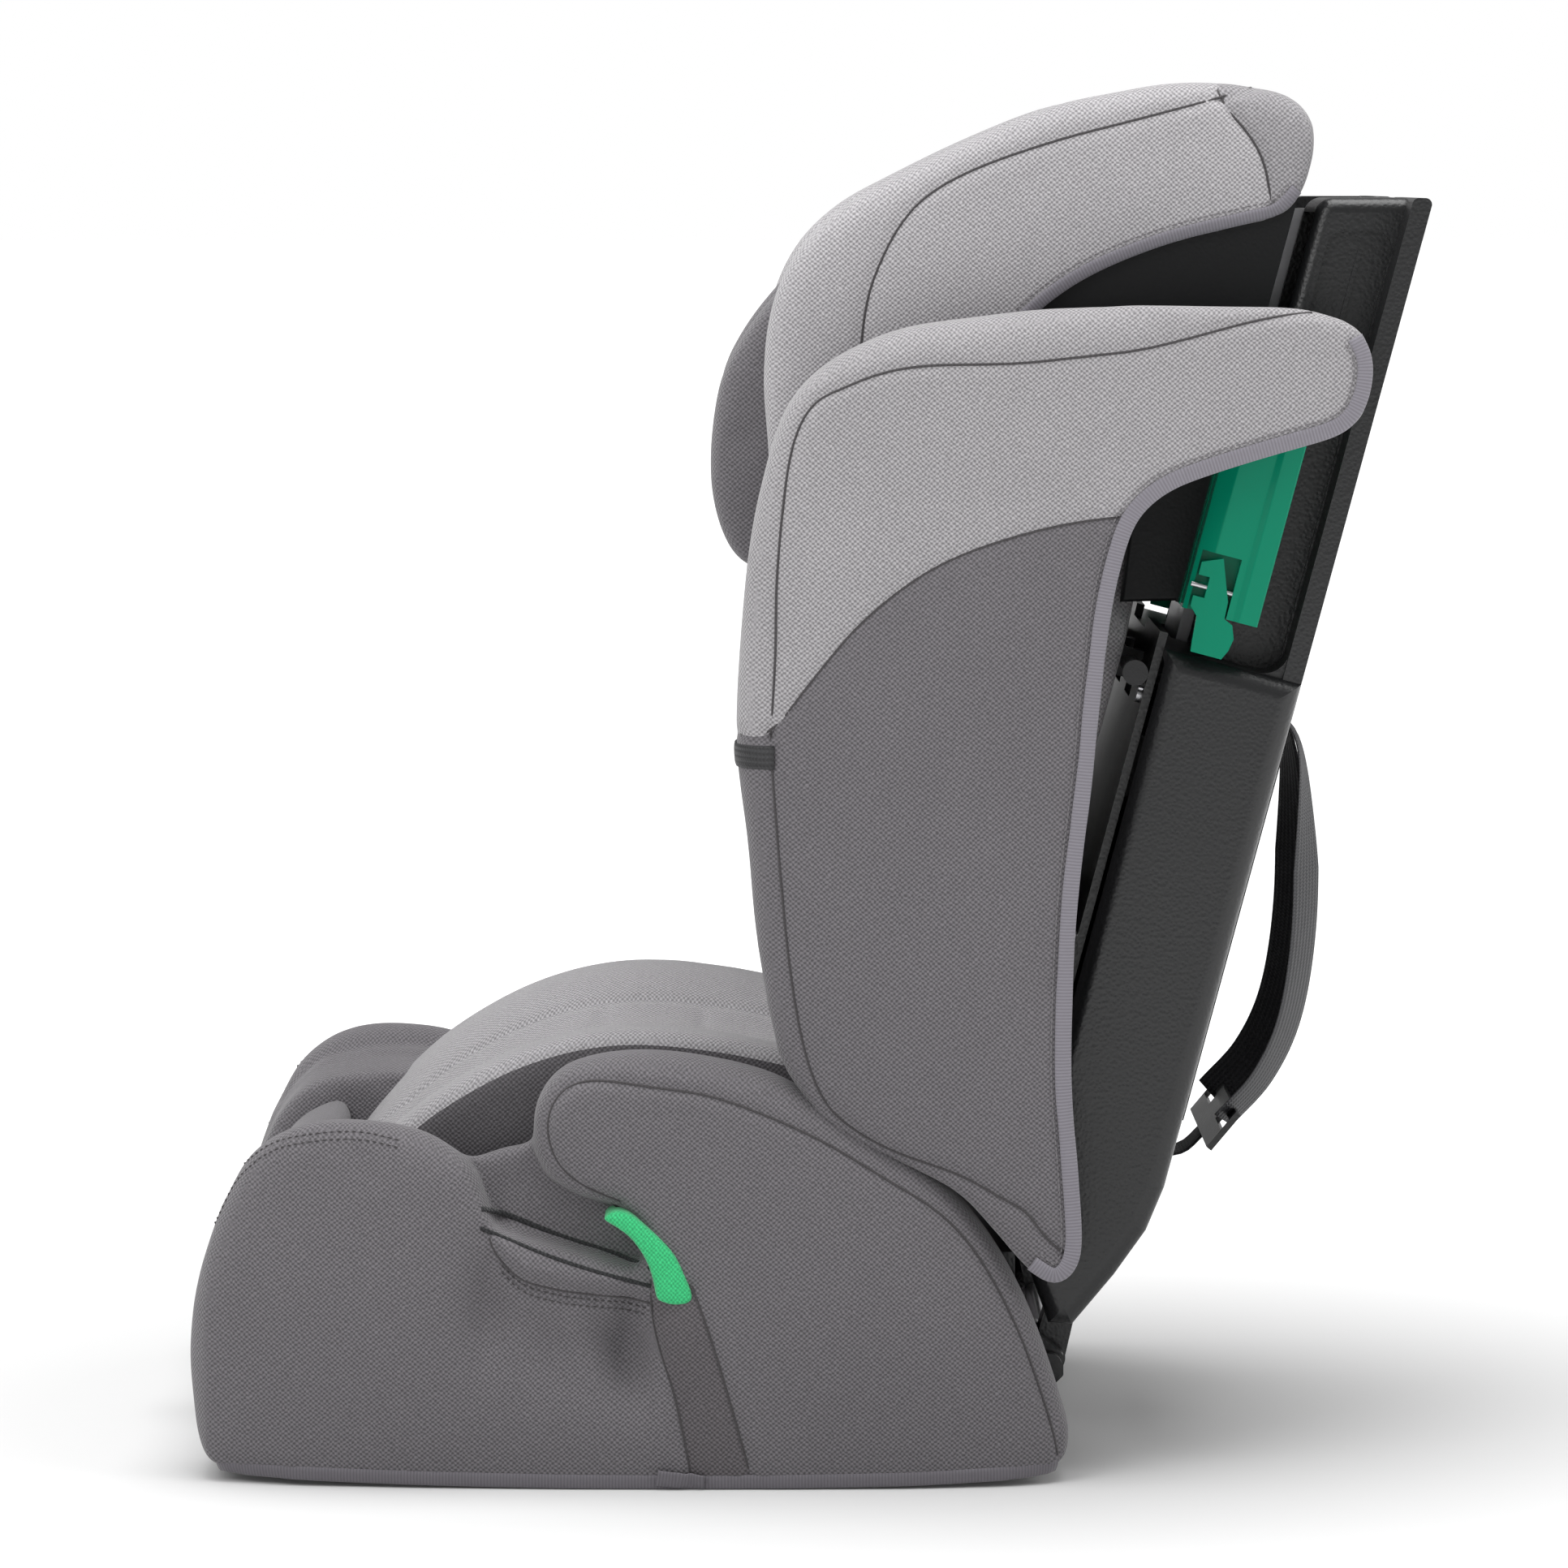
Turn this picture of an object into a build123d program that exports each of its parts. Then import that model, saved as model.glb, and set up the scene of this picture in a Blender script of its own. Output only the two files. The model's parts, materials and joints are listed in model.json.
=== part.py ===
from build123d import *
import math
import os

# High-back booster car seat with an internal harness, in millimetres.
# Frame: origin at the centre of the base's underside, +Z up, the seat faces -Y,
# +X is the seated child's left. The backrest and headrest are drawn in the
# backrest's own frame: origin on the hinge rod, Z up along the backrest,
# Y straight out of its rear. back() leans them into place.

# ---- driving dimensions ----
HINGE_Y = 197.0            # hinge rod, behind and above the base's underside
HINGE_Z = 47.0
BACK_LEAN = 14.9           # backrest's lean from vertical, degrees
ROD_R = 4.0                # hinge rod and harness bar radius
RUN_GAP = 0.05             # radial running clearance on rods and pins
WALL = 4.0                 # blow-moulded shell wall
COVER_HALF = 214.0         # half width over the armrests
BASE_FRONT = -208.0
BASE_REAR = 206.0
ARM_IN = 168.0             # armrest's inner face
HORN_IN = 122.0            # thigh bolster's inner face
HORN_REAR = -64.0          # where the bolster ends and the lap-belt slot begins
SEAT_HALF = 165.0          # seat cushion's half width
SHELL_REAR = 28.0          # rear face of the backrest shell, back frame
SHELL_TOP = 572.0          # shell top on the hinge line; level once it leans
SHELL_STEP = 345.0         # height where the shell narrows for the belt guides
LOWER_HALF = 178.0         # shell half width below the step
UPPER_HALF = 134.0         # shell half width above it
RIM_HALF = 170.0           # rear rim plate's half width above the step
CHANNEL_HALF = 58.0        # half width of the headrest's sliding channel
PANEL_FRONT = -42.0        # front face of the inner panel
WING_IN = 150.0            # backrest wing's inner face
WING_SKIRT_IN = 196.0      # wing's rear skirt clears the belt guides
HEAD_HALF = 146.0          # headrest half width
HEAD_WALL_X = 134.0        # headrest shell's side wall, inner face
GUIDE_OUT = 186.0          # outer face of the belt guides
PIN_R = 1.2                # belt-guide latch pin
WEB_W = 38.0               # harness webbing width
WEB_T = 1.6                # harness webbing thickness
SLOT_Z = 345.0             # shoulder strap slots, back frame
CROTCH_Y = 84.0            # crotch strap's slot in the cushion
BUCKLE_Y = 93.0            # harness buckle, on the seat's centre line
BUCKLE_Z = 247.0
BUCKLE_TILT = -20.0
SEAT_DECK = 104.0          # top of the base moulding, under the cushion
FRONT_FACE = -186.5        # front face of the base moulding, behind the adjuster
ADJUSTER_Y = -196.0        # harness adjuster's lever pivot
ADJUSTER_Z = 79.0
HOOK_X = 110.0             # backrest hooks on the hinge rod
BAR_Y = -48.0              # harness bar, back frame
BAR_Z = 330.0
SHELL_FRONT = -21.0        # front face of the shell above the step
SHELL_EDGE = 9.0           # moulded rounding of the shell's side edges
STEM_TOP = 560.0           # top of the flat steel stem behind the headrest
LATCH_X = 183.0            # belt-guide latch's pivot pin
LATCH_PIN_Z = 378.0
GUIDE_LOW = 366.0          # belt guide block, back frame
GUIDE_TOP = 480.0
BELT_SLOT = (155.0, 161.0)  # belt slot's two sides in the guide
SIDES = (("left", 1), ("right", -1))


# ---- helpers ----
def prism(points, x_low, x_high, radius=0):
    """Closed side-view outline (Y, Z), corners rounded, spread along X."""
    if radius:
        edges = FilletPolyline(*points, radius=radius, close=True)
    else:
        edges = Polyline(*points, close=True)
    face = Plane.YZ.offset(x_low) * make_face(edges)
    return extrude(face, x_high - x_low)


def block(x_range, y_range, z_range):
    """Box between two limits on each axis."""
    size = [high - low for low, high in (x_range, y_range, z_range)]
    centre = [(high + low) / 2 for low, high in (x_range, y_range, z_range)]
    return Pos(*centre) * Box(*size)


def rod(y, z, x_range, radius):
    """Cylinder along X."""
    length = x_range[1] - x_range[0]
    centre = (x_range[0] + x_range[1]) / 2
    return Pos(centre, y, z) * Rot(0, 90, 0) * Cylinder(radius, length)


def back(shape):
    """Leans a shape from the backrest's own frame into the seat's frame."""
    return Pos(0, HINGE_Y, HINGE_Z) * Rot(-BACK_LEAN, 0, 0) * shape


def seat_to_back(y, z):
    """Backrest-frame (Y, Z) of a point given in the seat's frame."""
    lean = math.radians(BACK_LEAN)
    dy, dz = y - HINGE_Y, z - HINGE_Z
    return (dy * math.cos(lean) - dz * math.sin(lean),
            dy * math.sin(lean) + dz * math.cos(lean))


def level_top(y, drop=0.0):
    """Shell top at a back-frame Y, so that it stays level with the lean."""
    return SHELL_TOP + y * math.tan(math.radians(BACK_LEAN)) - drop


def mirrored(shape):
    return mirror(shape, Plane.YZ)


def soften(shape, radius, x_low, x_high):
    """Rounds the outlines of a prism's two end faces."""
    ends = [e for e in shape.edges()
            if abs(e.center().X - x_low) < 0.01 or abs(e.center().X - x_high) < 0.01]
    return fillet(ends, radius)


def strap(points, x_mid, width=WEB_W, thickness=WEB_T):
    """Flat webbing along a side-view path (Y, Z)."""
    upper, lower = [], []
    for i, (y, z) in enumerate(points):
        y0, z0 = points[max(i - 1, 0)]
        y1, z1 = points[min(i + 1, len(points) - 1)]
        run = math.hypot(y1 - y0, z1 - z0)
        ny, nz = -(z1 - z0) / run * thickness / 2, (y1 - y0) / run * thickness / 2
        upper.append((y + ny, z + nz))
        lower.append((y - ny, z - nz))
    return prism(upper + lower[::-1], x_mid - width / 2, x_mid + width / 2)


parts = {}


def keep(name, shape):
    shape.label = name
    parts[name] = shape


def keep_pair(name, shape):
    """The +X piece is the seated child's left one."""
    keep(name + "_left", shape)
    keep(name + "_right", mirrored(shape))


# ---- base: plan outline and side outlines ----
plan_right = [(186, BASE_FRONT), (206, -120), (COVER_HALF, -30), (COVER_HALF, 130), (200, BASE_REAR)]
plan_points = plan_right + [(-x, y) for x, y in plan_right[::-1]]
plan = extrude(make_face(FilletPolyline(*plan_points, radius=30, close=True)), 260)

HORN = [(-200, 4), (-208, 50), (-205, 92), (-192, 128), (-176, 158), (-150, 167), (-112, 165),
        (-80, 150), (HORN_REAR, 116), (HORN_REAR, 0), (-120, 0)]
SLOT_PAD = [(HORN_REAR, 0), (HORN_REAR, 113), (-30, 108), (-6, 100), (-6, 0)]
ARMREST = [(-6, 0), (-6, 100), (6, 112), (-12, 132), (-30, 138), (-45, 152), (-46, 180), (-24, 200),
           (20, 203), (62, 195), (100, 170), (140, 147), (171, 111), (193, 63), (206, 22),
           (196, 0)]
GUIDE_PATCH = [(-12, 132), (-5, 136), (9, 128), (24, 111), (30, 94), (17, 92), (10, 96), (5, 113)]
CUSHION = [(-150, 108), (-146, 122), (-128, 146), (-98, 175), (-55, 198), (-8, 209), (50, 204),
           (118, 189), (128, 168), (128, 108)]


seat_core = block((-160, 160), (-186, 180), (0, SEAT_DECK))


def make_base_shell():
    """Ribbed seat moulding with armrest cores and the rod's bearing ears."""
    seat = seat_core
    columns, rows = 5, 6
    pitch_x = (320 - WALL) / columns
    pitch_y = (366 - WALL) / rows
    for ix in range(columns):
        for iy in range(rows):
            x = -160 + WALL / 2 + (ix + 0.5) * pitch_x
            y = -186 + WALL / 2 + (iy + 0.5) * pitch_y
            pocket = Box(pitch_x - WALL, pitch_y - WALL, SEAT_DECK)
            seat -= Pos(x, y, SEAT_DECK / 2 - WALL) * pocket
    core = prism([(8, 8), (8, 120), (-32, 150), (-34, 178), (-18, 190), (60, 183), (130, 140),
                  (180, 60), (190, 8)], 160, 202, 6)
    shell = seat + core + mirrored(core)
    for sign in (-1, 1):
        for x in (90, 130):
            ear = prism([(176, 28), (176, 66), (HINGE_Y - 4, 60), (HINGE_Y + 7, HINGE_Z + 4),
                         (HINGE_Y + 7, HINGE_Z - 6), (HINGE_Y - 4, 30)],
                        sign * x - 6, sign * x + 6, 2)
            shell += ear
    shell -= rod(HINGE_Y, HINGE_Z, (-150, 150), ROD_R)
    shell -= block((-22, 22), (CROTCH_Y - 4, CROTCH_Y + 4), (80, 110))
    return shell


base_shell = make_base_shell()

horn = prism(HORN, HORN_IN, COVER_HALF, 12) & plan
slot_pad = prism(SLOT_PAD, ARM_IN - 6, COVER_HALF - 5) & plan
armrest = prism(ARMREST, ARM_IN, COVER_HALF, 3.5) & plan
patch = prism(GUIDE_PATCH, ARM_IN + 2, COVER_HALF - 0.5)
cushion = prism(CUSHION, -SEAT_HALF, SEAT_HALF, 5)
cushion = soften(cushion, 4, -SEAT_HALF, SEAT_HALF)
crotch_slot = block((-23, 23), (CROTCH_Y - 4, CROTCH_Y + 4), (100, 260))
cushion -= crotch_slot
seat_front = prism([(-198, 6), (-202, 60), (-192, 108), (-172, 134), (-152, 140), (-151, 106),
                    (-187, 104), (-187, 6)], -HORN_IN + 0.5, HORN_IN - 0.5, 3)
rear_trim = block((-82, 82), (180, 188), (8, 82))

keep("base_shell", base_shell)
keep_pair("thigh_bolster", horn - seat_core - cushion)
keep_pair("belt_slot_pad", slot_pad - seat_core - cushion)
keep_pair("armrest_pad", armrest - seat_core - base_shell - patch - cushion)
keep_pair("lap_belt_guide", patch - base_shell)
keep("seat_cushion", cushion - base_shell)
keep("base_rear_trim", rear_trim)

# ---- harness adjuster in the base's front ----
adjuster_room = block((-24, 24), (ADJUSTER_Y - 13, FRONT_FACE), (ADJUSTER_Z - 23, ADJUSTER_Z + 11))
adjuster = fillet(adjuster_room.edges().filter_by(Axis.Y), 5)
adjuster -= block((-15, 15), (ADJUSTER_Y - 14, FRONT_FACE - 3.5), (ADJUSTER_Z - 17, ADJUSTER_Z + 5))
adjuster_pivot = rod(ADJUSTER_Y, ADJUSTER_Z, (-24, 24), 1.5)
lever_side = [(-10, -9), (-8, 3), (-1, 3.5), (3, 2), (3, -2), (-2, -4), (-5, -11)]
lever = prism([(ADJUSTER_Y + y, ADJUSTER_Z + z) for y, z in lever_side], -14.5, 14.5, 0.8)
lever -= rod(ADJUSTER_Y, ADJUSTER_Z, (-20, 20), 1.5 + RUN_GAP)
tail_side = [(8.5, -16), (-1, -19), (-12, -27), (-14.5, -37), (-13.5, -47)]
tail = strap([(ADJUSTER_Y + y, ADJUSTER_Z + z) for y, z in tail_side], 0, 25)
keep("seat_front_panel", seat_front - seat_core - adjuster_room)
keep("adjuster_frame", adjuster - adjuster_pivot)
keep("adjuster_pivot", adjuster_pivot)
keep("adjuster_lever", lever)
keep("adjuster_tail_strap", tail - adjuster - seat_front)

# ---- hinge rod ----
keep("hinge_rod", rod(HINGE_Y, HINGE_Z, (-139, 139), ROD_R))
caps = [rod(HINGE_Y, HINGE_Z, (x - 3, x + 3), 6) for x in (-142, 142)]
caps = [cap - rod(HINGE_Y, HINGE_Z, (-139, 139), ROD_R) for cap in caps]
keep("rod_caps", Compound(children=caps))

# ---- crotch strap and buckle ----
def on_buckle(shape):
    """Places a shape drawn round the buckle's centre."""
    return Pos(0, BUCKLE_Y, BUCKLE_Z) * Rot(BUCKLE_TILT, 0, 0) * shape


buckle_case = fillet(Box(52, 22, 46).edges(), 6)
button_well = Pos(0, -8, 6) * Box(24.4, 12, 16.4)
tongue_slots = [Pos(x, 2, 16) * Box(16.4, 3.4, 16) for x in (-12, 12)]
buckle_body = buckle_case - button_well
for slot in tongue_slots:
    buckle_body -= slot
button = fillet((Pos(0, -9.5, 6) * Box(24, 5, 16)).edges(), 1)
crotch_web = strap([(CROTCH_Y, 90), (CROTCH_Y, 160), (CROTCH_Y + 0.5, 204), (CROTCH_Y + 4, 232)], 0, 40, 2)
crotch_pad = fillet(block((-30, 30), (CROTCH_Y - 7, CROTCH_Y + 8), (200.5, 225)).edges(), 4)
keep("crotch_strap", crotch_web - on_buckle(buckle_case))
keep("crotch_pad", crotch_pad - crotch_web - on_buckle(buckle_case))
keep("buckle_case", on_buckle(buckle_body))
keep("buckle_button", on_buckle(button))
for (side, sign), slot in zip(SIDES, tongue_slots[::-1]):
    blade = Pos(sign * 12, 2, 17) * Box(16, 2.6, 16)
    grip = Pos(sign * 15, 2, 31) * fillet(Box(28, 9, 13).edges(), 3)
    keep("buckle_tongue_" + side, on_buckle(blade + grip))

# ---- backrest shell ----
SHELL_LOW = [(-38, SHELL_STEP), (-38, 130), (-22, 44), (-8, 24), (3, 26), (16, 54), (25, 78),
             (SHELL_REAR, 100), (SHELL_REAR, SHELL_STEP)]
SHELL_UP = [(SHELL_FRONT, SHELL_STEP - 20), (SHELL_FRONT, level_top(SHELL_FRONT)),
            (SHELL_REAR, level_top(SHELL_REAR)), (SHELL_REAR, SHELL_STEP - 20)]
SIDE_RECESS = [(SHELL_FRONT + 9, SHELL_STEP - 10), (SHELL_FRONT + 9, level_top(SHELL_FRONT + 9, 16)),
               (18, level_top(18, 16)), (18, SHELL_STEP - 10)]


def make_backrest_shell():
    """Open-fronted moulding: wide below the step, narrow with a rear rim above."""
    floor = SHELL_REAR - WALL
    low = prism(SHELL_LOW, -LOWER_HALF, LOWER_HALF)
    low = soften(low, SHELL_EDGE, -LOWER_HALF, LOWER_HALF)
    frame_half = UPPER_HALF + 3
    up = soften(prism(SHELL_UP, -frame_half, frame_half, 9), 7, -frame_half, frame_half)
    rim = prism([(19, SHELL_STEP - 20), (19, level_top(19)), (SHELL_REAR, level_top(SHELL_REAR)),
                 (SHELL_REAR, SHELL_STEP - 20)], -RIM_HALF, RIM_HALF, 3)
    shell = low + up + rim
    inner = LOWER_HALF - WALL
    hollow = prism([(-40, SHELL_STEP - WALL), (-40, 130), (-20, 52), (-4, 38), (12, 62),
                    (floor, 104), (floor, SHELL_STEP - WALL)], -inner, inner)
    shell -= soften(hollow, SHELL_EDGE - WALL, -inner, inner)
    for sign in (-1, 1):
        x_low, x_high = sorted((sign * UPPER_HALF, sign * (frame_half + 1)))
        shell -= prism(SIDE_RECESS, x_low, x_high, 8)
        x_low, x_high = sorted((sign * UPPER_HALF, sign * (RIM_HALF - 3)))
        shell += block((x_low, x_high), (7, 19), (SHELL_STEP, SHELL_STEP + 12)) - rod(
            7, SHELL_STEP + 12, (x_low, x_high), 12)
        shell += block(sorted((sign * (UPPER_HALF - 1), sign * (UPPER_HALF + 0.8))), (3, 5), (400, 548))
    for sign in (-1, 1):
        near, far = CHANNEL_HALF + WALL, UPPER_HALF - WALL
        x_low, x_high = (near, far) if sign > 0 else (-far, -near)
        shell -= prism([(-29, SHELL_STEP), (floor, SHELL_STEP), (floor, level_top(floor, 7)),
                        (-29, level_top(-29, 7))], x_low, x_high)
    shell -= prism([(-29, SHELL_STEP - 10), (12, SHELL_STEP - 10), (12, SHELL_TOP + 10),
                    (-29, SHELL_TOP + 10)], -CHANNEL_HALF, CHANNEL_HALF)
    shell -= block((-CHANNEL_HALF, CHANNEL_HALF), (11, 15), (SHELL_STEP - 10, SHELL_TOP - 70))
    # opening for the straps and the handle's finger window
    shell -= block((-78, 78), (20, 30), (SLOT_Z - 30, SLOT_Z - 14))
    shell -= block((-24, 24), (10, 30), (88, 104))
    shell -= block((-44, 44), (10, 30), (SHELL_TOP - 52, SHELL_TOP + 12))
    for x in (-120, -60, 60, 120):
        shell += block((x - 2, x + 2), (-37, 25), (120, 300)) - block((x - 3, x + 3), (-40, 10), (150, 270))
    return shell


shell_back = make_backrest_shell()
rear_ribs = [block((x - 7, x + 7), (SHELL_REAR, SHELL_REAR + 2.5), (z0, z1))
             for x, z0, z1 in ((-140, 130, 310), (140, 130, 310), (-112, 370, 540), (112, 370, 540))]
for rib in rear_ribs:
    shell_back += rib
keep("backrest_shell", back(shell_back))

inner_panel = block((-165, 165), (PANEL_FRONT, PANEL_FRONT + 4), (58, 352))
for sign in (-1, 1):
    inner_panel -= block((sign * 48 - 23, sign * 48 + 23), (PANEL_FRONT - 1, PANEL_FRONT + 5),
                         (SLOT_Z - 32, SLOT_Z - 15))
inner_panel -= block((-52, 52), (PANEL_FRONT - 1, PANEL_FRONT + 5), (346, 353))
keep("inner_panel", back(inner_panel))
screws = []
for x in (-150, 150):
    for z in (90, 200, 320):
        head = Pos(x, PANEL_FRONT - 1, z) * Rot(90, 0, 0) * Cylinder(4, 2)
        screws.append(back(head))
keep("panel_screws", Compound(children=screws))

# ---- hinge hooks ----
def make_hook(x):
    eye = rod(0, 0, (x - 10, x + 10), 8.5)
    arm = prism([(-8, 0), (-7, 29), (7, 29), (8, 0)], x - 10, x + 10)
    hook = eye + arm
    hook -= rod(0, 0, (x - 20, x + 20), ROD_R + RUN_GAP)
    return back(hook - shell_back)


keep("hinge_hook_left", make_hook(HOOK_X))
keep("hinge_hook_right", make_hook(-HOOK_X))

# ---- wings and back cushion ----
WING_FRONT = [(-66, 505), (-95, 497), (-131, 486), (-165, 472), (-193, 460), (-228, 430), (-240, 398),
              (-241, 378), (-237, 333), (-222, 257), (-203, 206), (-173, 131), (-150, 102),
              (-116, 86), (-67, 77), (-44, 62), (-44, 210), (-58, 280), (-66, 345), (-66, 390)]
WING_SKIRT = [(14, 507), (-10, 515), (-66, 506), (-70, 450), (-70, 100), (-67, 77), (-44, 63), (-18, 49),
              (-8, 54), (-8, 81), (-30, 142), (-49, 227), (-62, 309), (-69, 385), (-61, 415),
              (-26, 441), (6, 461), (20, 475)]
wing = prism(WING_FRONT, WING_IN, COVER_HALF) + prism(WING_SKIRT, WING_SKIRT_IN, COVER_HALF)
wing -= prism([(-42, 352), (-42, 20), (40, 20), (40, 352)], 140, LOWER_HALF + 1)
wing = back(wing)
wing -= extrude(Plane.YZ.offset(ARM_IN - 3) * offset(make_face(Polyline(*ARMREST, close=True)), 0.6), 60)
wing -= prism([(-160, 100), (-140, 147), (-55, 200), (-8, 211), (50, 206), (120, 191), (131, 170),
               (131, 100)], 100, SEAT_HALF + 0.6)
band = prism([(-224, 243), (-224, 255), (-203, 255), (-203, 243)], 156, 208)
keep_pair("backrest_wing", wing - back(band))
keep_pair("wing_elastic", back(band & prism(WING_FRONT, WING_IN, COVER_HALF)))

back_cushion = block((-148, 148), (-95, -54), (100, 352))
back_cushion += block((-131, 131), (-95, -54), (352, 386))
back_cushion = fillet(back_cushion.edges().filter_by(Axis.Z), 8)
for sign in (-1, 1):
    back_cushion -= block((sign * 48 - 22, sign * 48 + 22), (-97, -52), (SLOT_Z - 5, SLOT_Z + 5))
keep("back_cushion", back(back_cushion))

# ---- harness bar, straps and yoke ----
harness_bar = rod(BAR_Y, BAR_Z, (-162, 162), ROD_R)
keep("harness_bar", back(harness_bar))
clips = []
for x in (-90, 0, 90):
    clip = block((x - 6, x + 6), (BAR_Y - 5, PANEL_FRONT), (BAR_Z - 7, BAR_Z + 7))
    clips.append(back(clip - harness_bar))
for x in (-162, 162):
    clips.append(back(rod(BAR_Y, BAR_Z, (x - 3, x + 3), 6) - harness_bar))
keep("bar_clips", Compound(children=clips))

strap_end = seat_to_back(BUCKLE_Y + 18, BUCKLE_Z + 42)
for side, sign in SIDES:
    x = 48 * sign
    front_run = [strap_end, (-134, 240), (-104, 292), (-98, 330), (-93, 344), (-56, 345),
                 (-51.5, 341), (-51.5, 336)]
    rear_run = [(-41, 322), (-30, 320), (22, 321), (34, 322), (45, 310), (58, 275), (72, 225),
                (76, 180), (70, 150), (58, 126)]
    front_strap = strap(front_run, x)
    rear_strap = strap(rear_run, x)
    keep("shoulder_strap_" + side, back(front_strap) - parts["back_cushion"])
    keep("rear_strap_" + side, back(rear_strap) - parts["backrest_shell"])
    pad = strap([(-138, 233), (-122, 261), (-105, 300)], x, 52, 12)
    keep("shoulder_pad_" + side, back(pad) - back(front_strap) - parts["back_cushion"])
yoke = Pos(0, 57.5, 121) * Rot(-25, 0, 0) * Box(140, 3, 22)
for sign in (-1, 1):
    yoke -= Pos(sign * 48, 57.5, 124) * Rot(-25, 0, 0) * Box(42, 8, 6)
keep("harness_yoke", back(yoke) - parts["rear_strap_left"] - parts["rear_strap_right"])
lower_web = strap([(52, 110), (44, 99), (30, 95), (14, 94), (0, 70)], 0)
keep("adjuster_strap_rear", back(lower_web) - back(yoke) - parts["backrest_shell"])

# ---- height rack in the shell's channel ----
rack = block((-12, 12), (6, 15), (380, 500))
for i in range(5):
    rack -= Pos(0, 6, 392 + i * 24) * Rot(0, 90, 0) * Cylinder(3.5, 30)
rack = rack & block((-12, 12), (4, 12), (380, 500))
rack += block((-18, 18), (12, 15), (378, 502))
keep("height_rack", back(rack) - parts["backrest_shell"])

# ---- headrest ----
HEAD_WALL = [(-31, 578), (-31, 368), (-62, 359), (-68, 400), (-100, 432), (-150, 430), (-200, 400),
             (-214, 440), (-190, 508), (-120, 566), (-60, 588)]
HEAD_WING = [(-30, 562), (-30, 585), (-36, 602), (-50, 609), (-101, 601), (-153, 577), (-200, 540),
             (-236, 506), (-256, 462), (-254, 424), (-240, 385), (-222, 345), (-205, 340),
             (-185, 380), (-150, 450), (-132, 484), (-104, 512), (-60, 540)]
BOLSTER = [(-80, 560), (-150, 560), (-230, 500), (-257, 454), (-268, 425), (-271, 405), (-265, 368),
           (-252, 340), (-238, 329), (-205, 333), (-160, 372), (-112, 400), (-82, 420)]


def make_headrest_shell():
    """Plate behind the head with two swept side walls and stiffening ribs."""
    wall = prism(HEAD_WALL, HEAD_WALL_X, HEAD_WALL_X + 5)
    wall = fillet([e for e in wall.edges() if abs(e.center().X - HEAD_WALL_X - 5) < 0.01], 2)
    plate = block((-HEAD_WALL_X - 5, HEAD_WALL_X + 5), (-37, -31), (366, 590))
    shell = plate + wall + mirrored(wall)
    for z in (400, 440, 480, 520, 560):
        shell += block((-120, 120), (-40, -37), (z - 2, z + 2))
    shell += block((-36, 36), (-31, -26), (440, 500))
    return shell


head_shell = make_headrest_shell()
head_wing = soften(prism(HEAD_WING, 112, HEAD_HALF), 4, 112, HEAD_HALF)
bolster = soften(prism(BOLSTER, 82, 111.7), 6, 82, 111.7)
head_pad = block((-81.7, 81.7), (-84, -40), (392, 602))
head_pad = fillet(head_pad.edges().filter_by(Axis.X), 14)
stem = block((-50, 50), (-26, -20), (338, STEM_TOP))
keep("headrest_shell", back(head_shell))
keep("headrest_stem", back(stem))
keep_pair("headrest_wing", back(head_wing - head_shell))
keep_pair("headrest_bolster", back(bolster - head_shell))
keep("headrest_pad", back(head_pad - head_shell))

# ---- release handle on the stem ----
handle = block((-42, 42), (-19.6, -1), (538, 562))
handle = fillet(handle.edges().filter_by(Axis.X), 4)
handle -= block((-34, 34), (-10, 2), (538, 554))
handle += block((-9, 9), (-19.6, -12), (470, 540))
handle += block((-9, 9), (-19.6, 5.2), (470, 478))
keep("headrest_handle", back(handle))
handle_springs = []
for x in (-28, 28):
    spring_path = Helix(3.0, 26, 4)
    coil = sweep(Plane(spring_path @ 0, z_dir=spring_path % 0) * Circle(0.7), path=spring_path)
    handle_springs.append(back(Pos(x, -14.5, 509.5) * coil))
keep("handle_springs", Compound(children=handle_springs))
spring_seat = block((-36, 36), (-20, -10), (500, 508)) - block((-10, 10), (-21, -9), (499, 509))
keep("spring_seat", Compound(children=[back(s) for s in spring_seat.solids()]))

# ---- shoulder-belt guides with latches ----
LATCH = [(-33, 389), (-23.6, 393), (-16.4, 374), (-15.9, 366), (-11.6, 364), (-9.3, 358), (-10.3, 352),
         (-12.5, 347.4), (-27.2, 347.4), (-27.8, 352), (-28.8, 364), (-32.8, 368)]
latch_pin = Pos(LATCH_X, -24, LATCH_PIN_Z) * Rot(90, 0, 0) * Cylinder(PIN_R, 22)


def make_guide():
    """Hook beside the headrest: a belt slot open at the foot, a pocket for the latch."""
    plan_view = [(HEAD_WALL_X + 5, -36), (GUIDE_OUT - 6, -36), (GUIDE_OUT, -28), (GUIDE_OUT - 1.2, -12),
                 (GUIDE_OUT, -9), (GUIDE_OUT - 1.5, 0), (HEAD_WALL_X + 5, 0)]
    profile = make_face(FilletPolyline(*plan_view, radius=1.2, close=True))
    body = Pos(0, 0, GUIDE_LOW) * extrude(profile, GUIDE_TOP - GUIDE_LOW)
    body -= block(BELT_SLOT, (-37, 1), (GUIDE_LOW - 1, GUIDE_TOP - 14))
    body -= block((LATCH_X - 6.4, GUIDE_OUT + 1), (-33.8, -15.2), (GUIDE_LOW - 1, 394.6))
    return body - latch_pin


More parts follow.
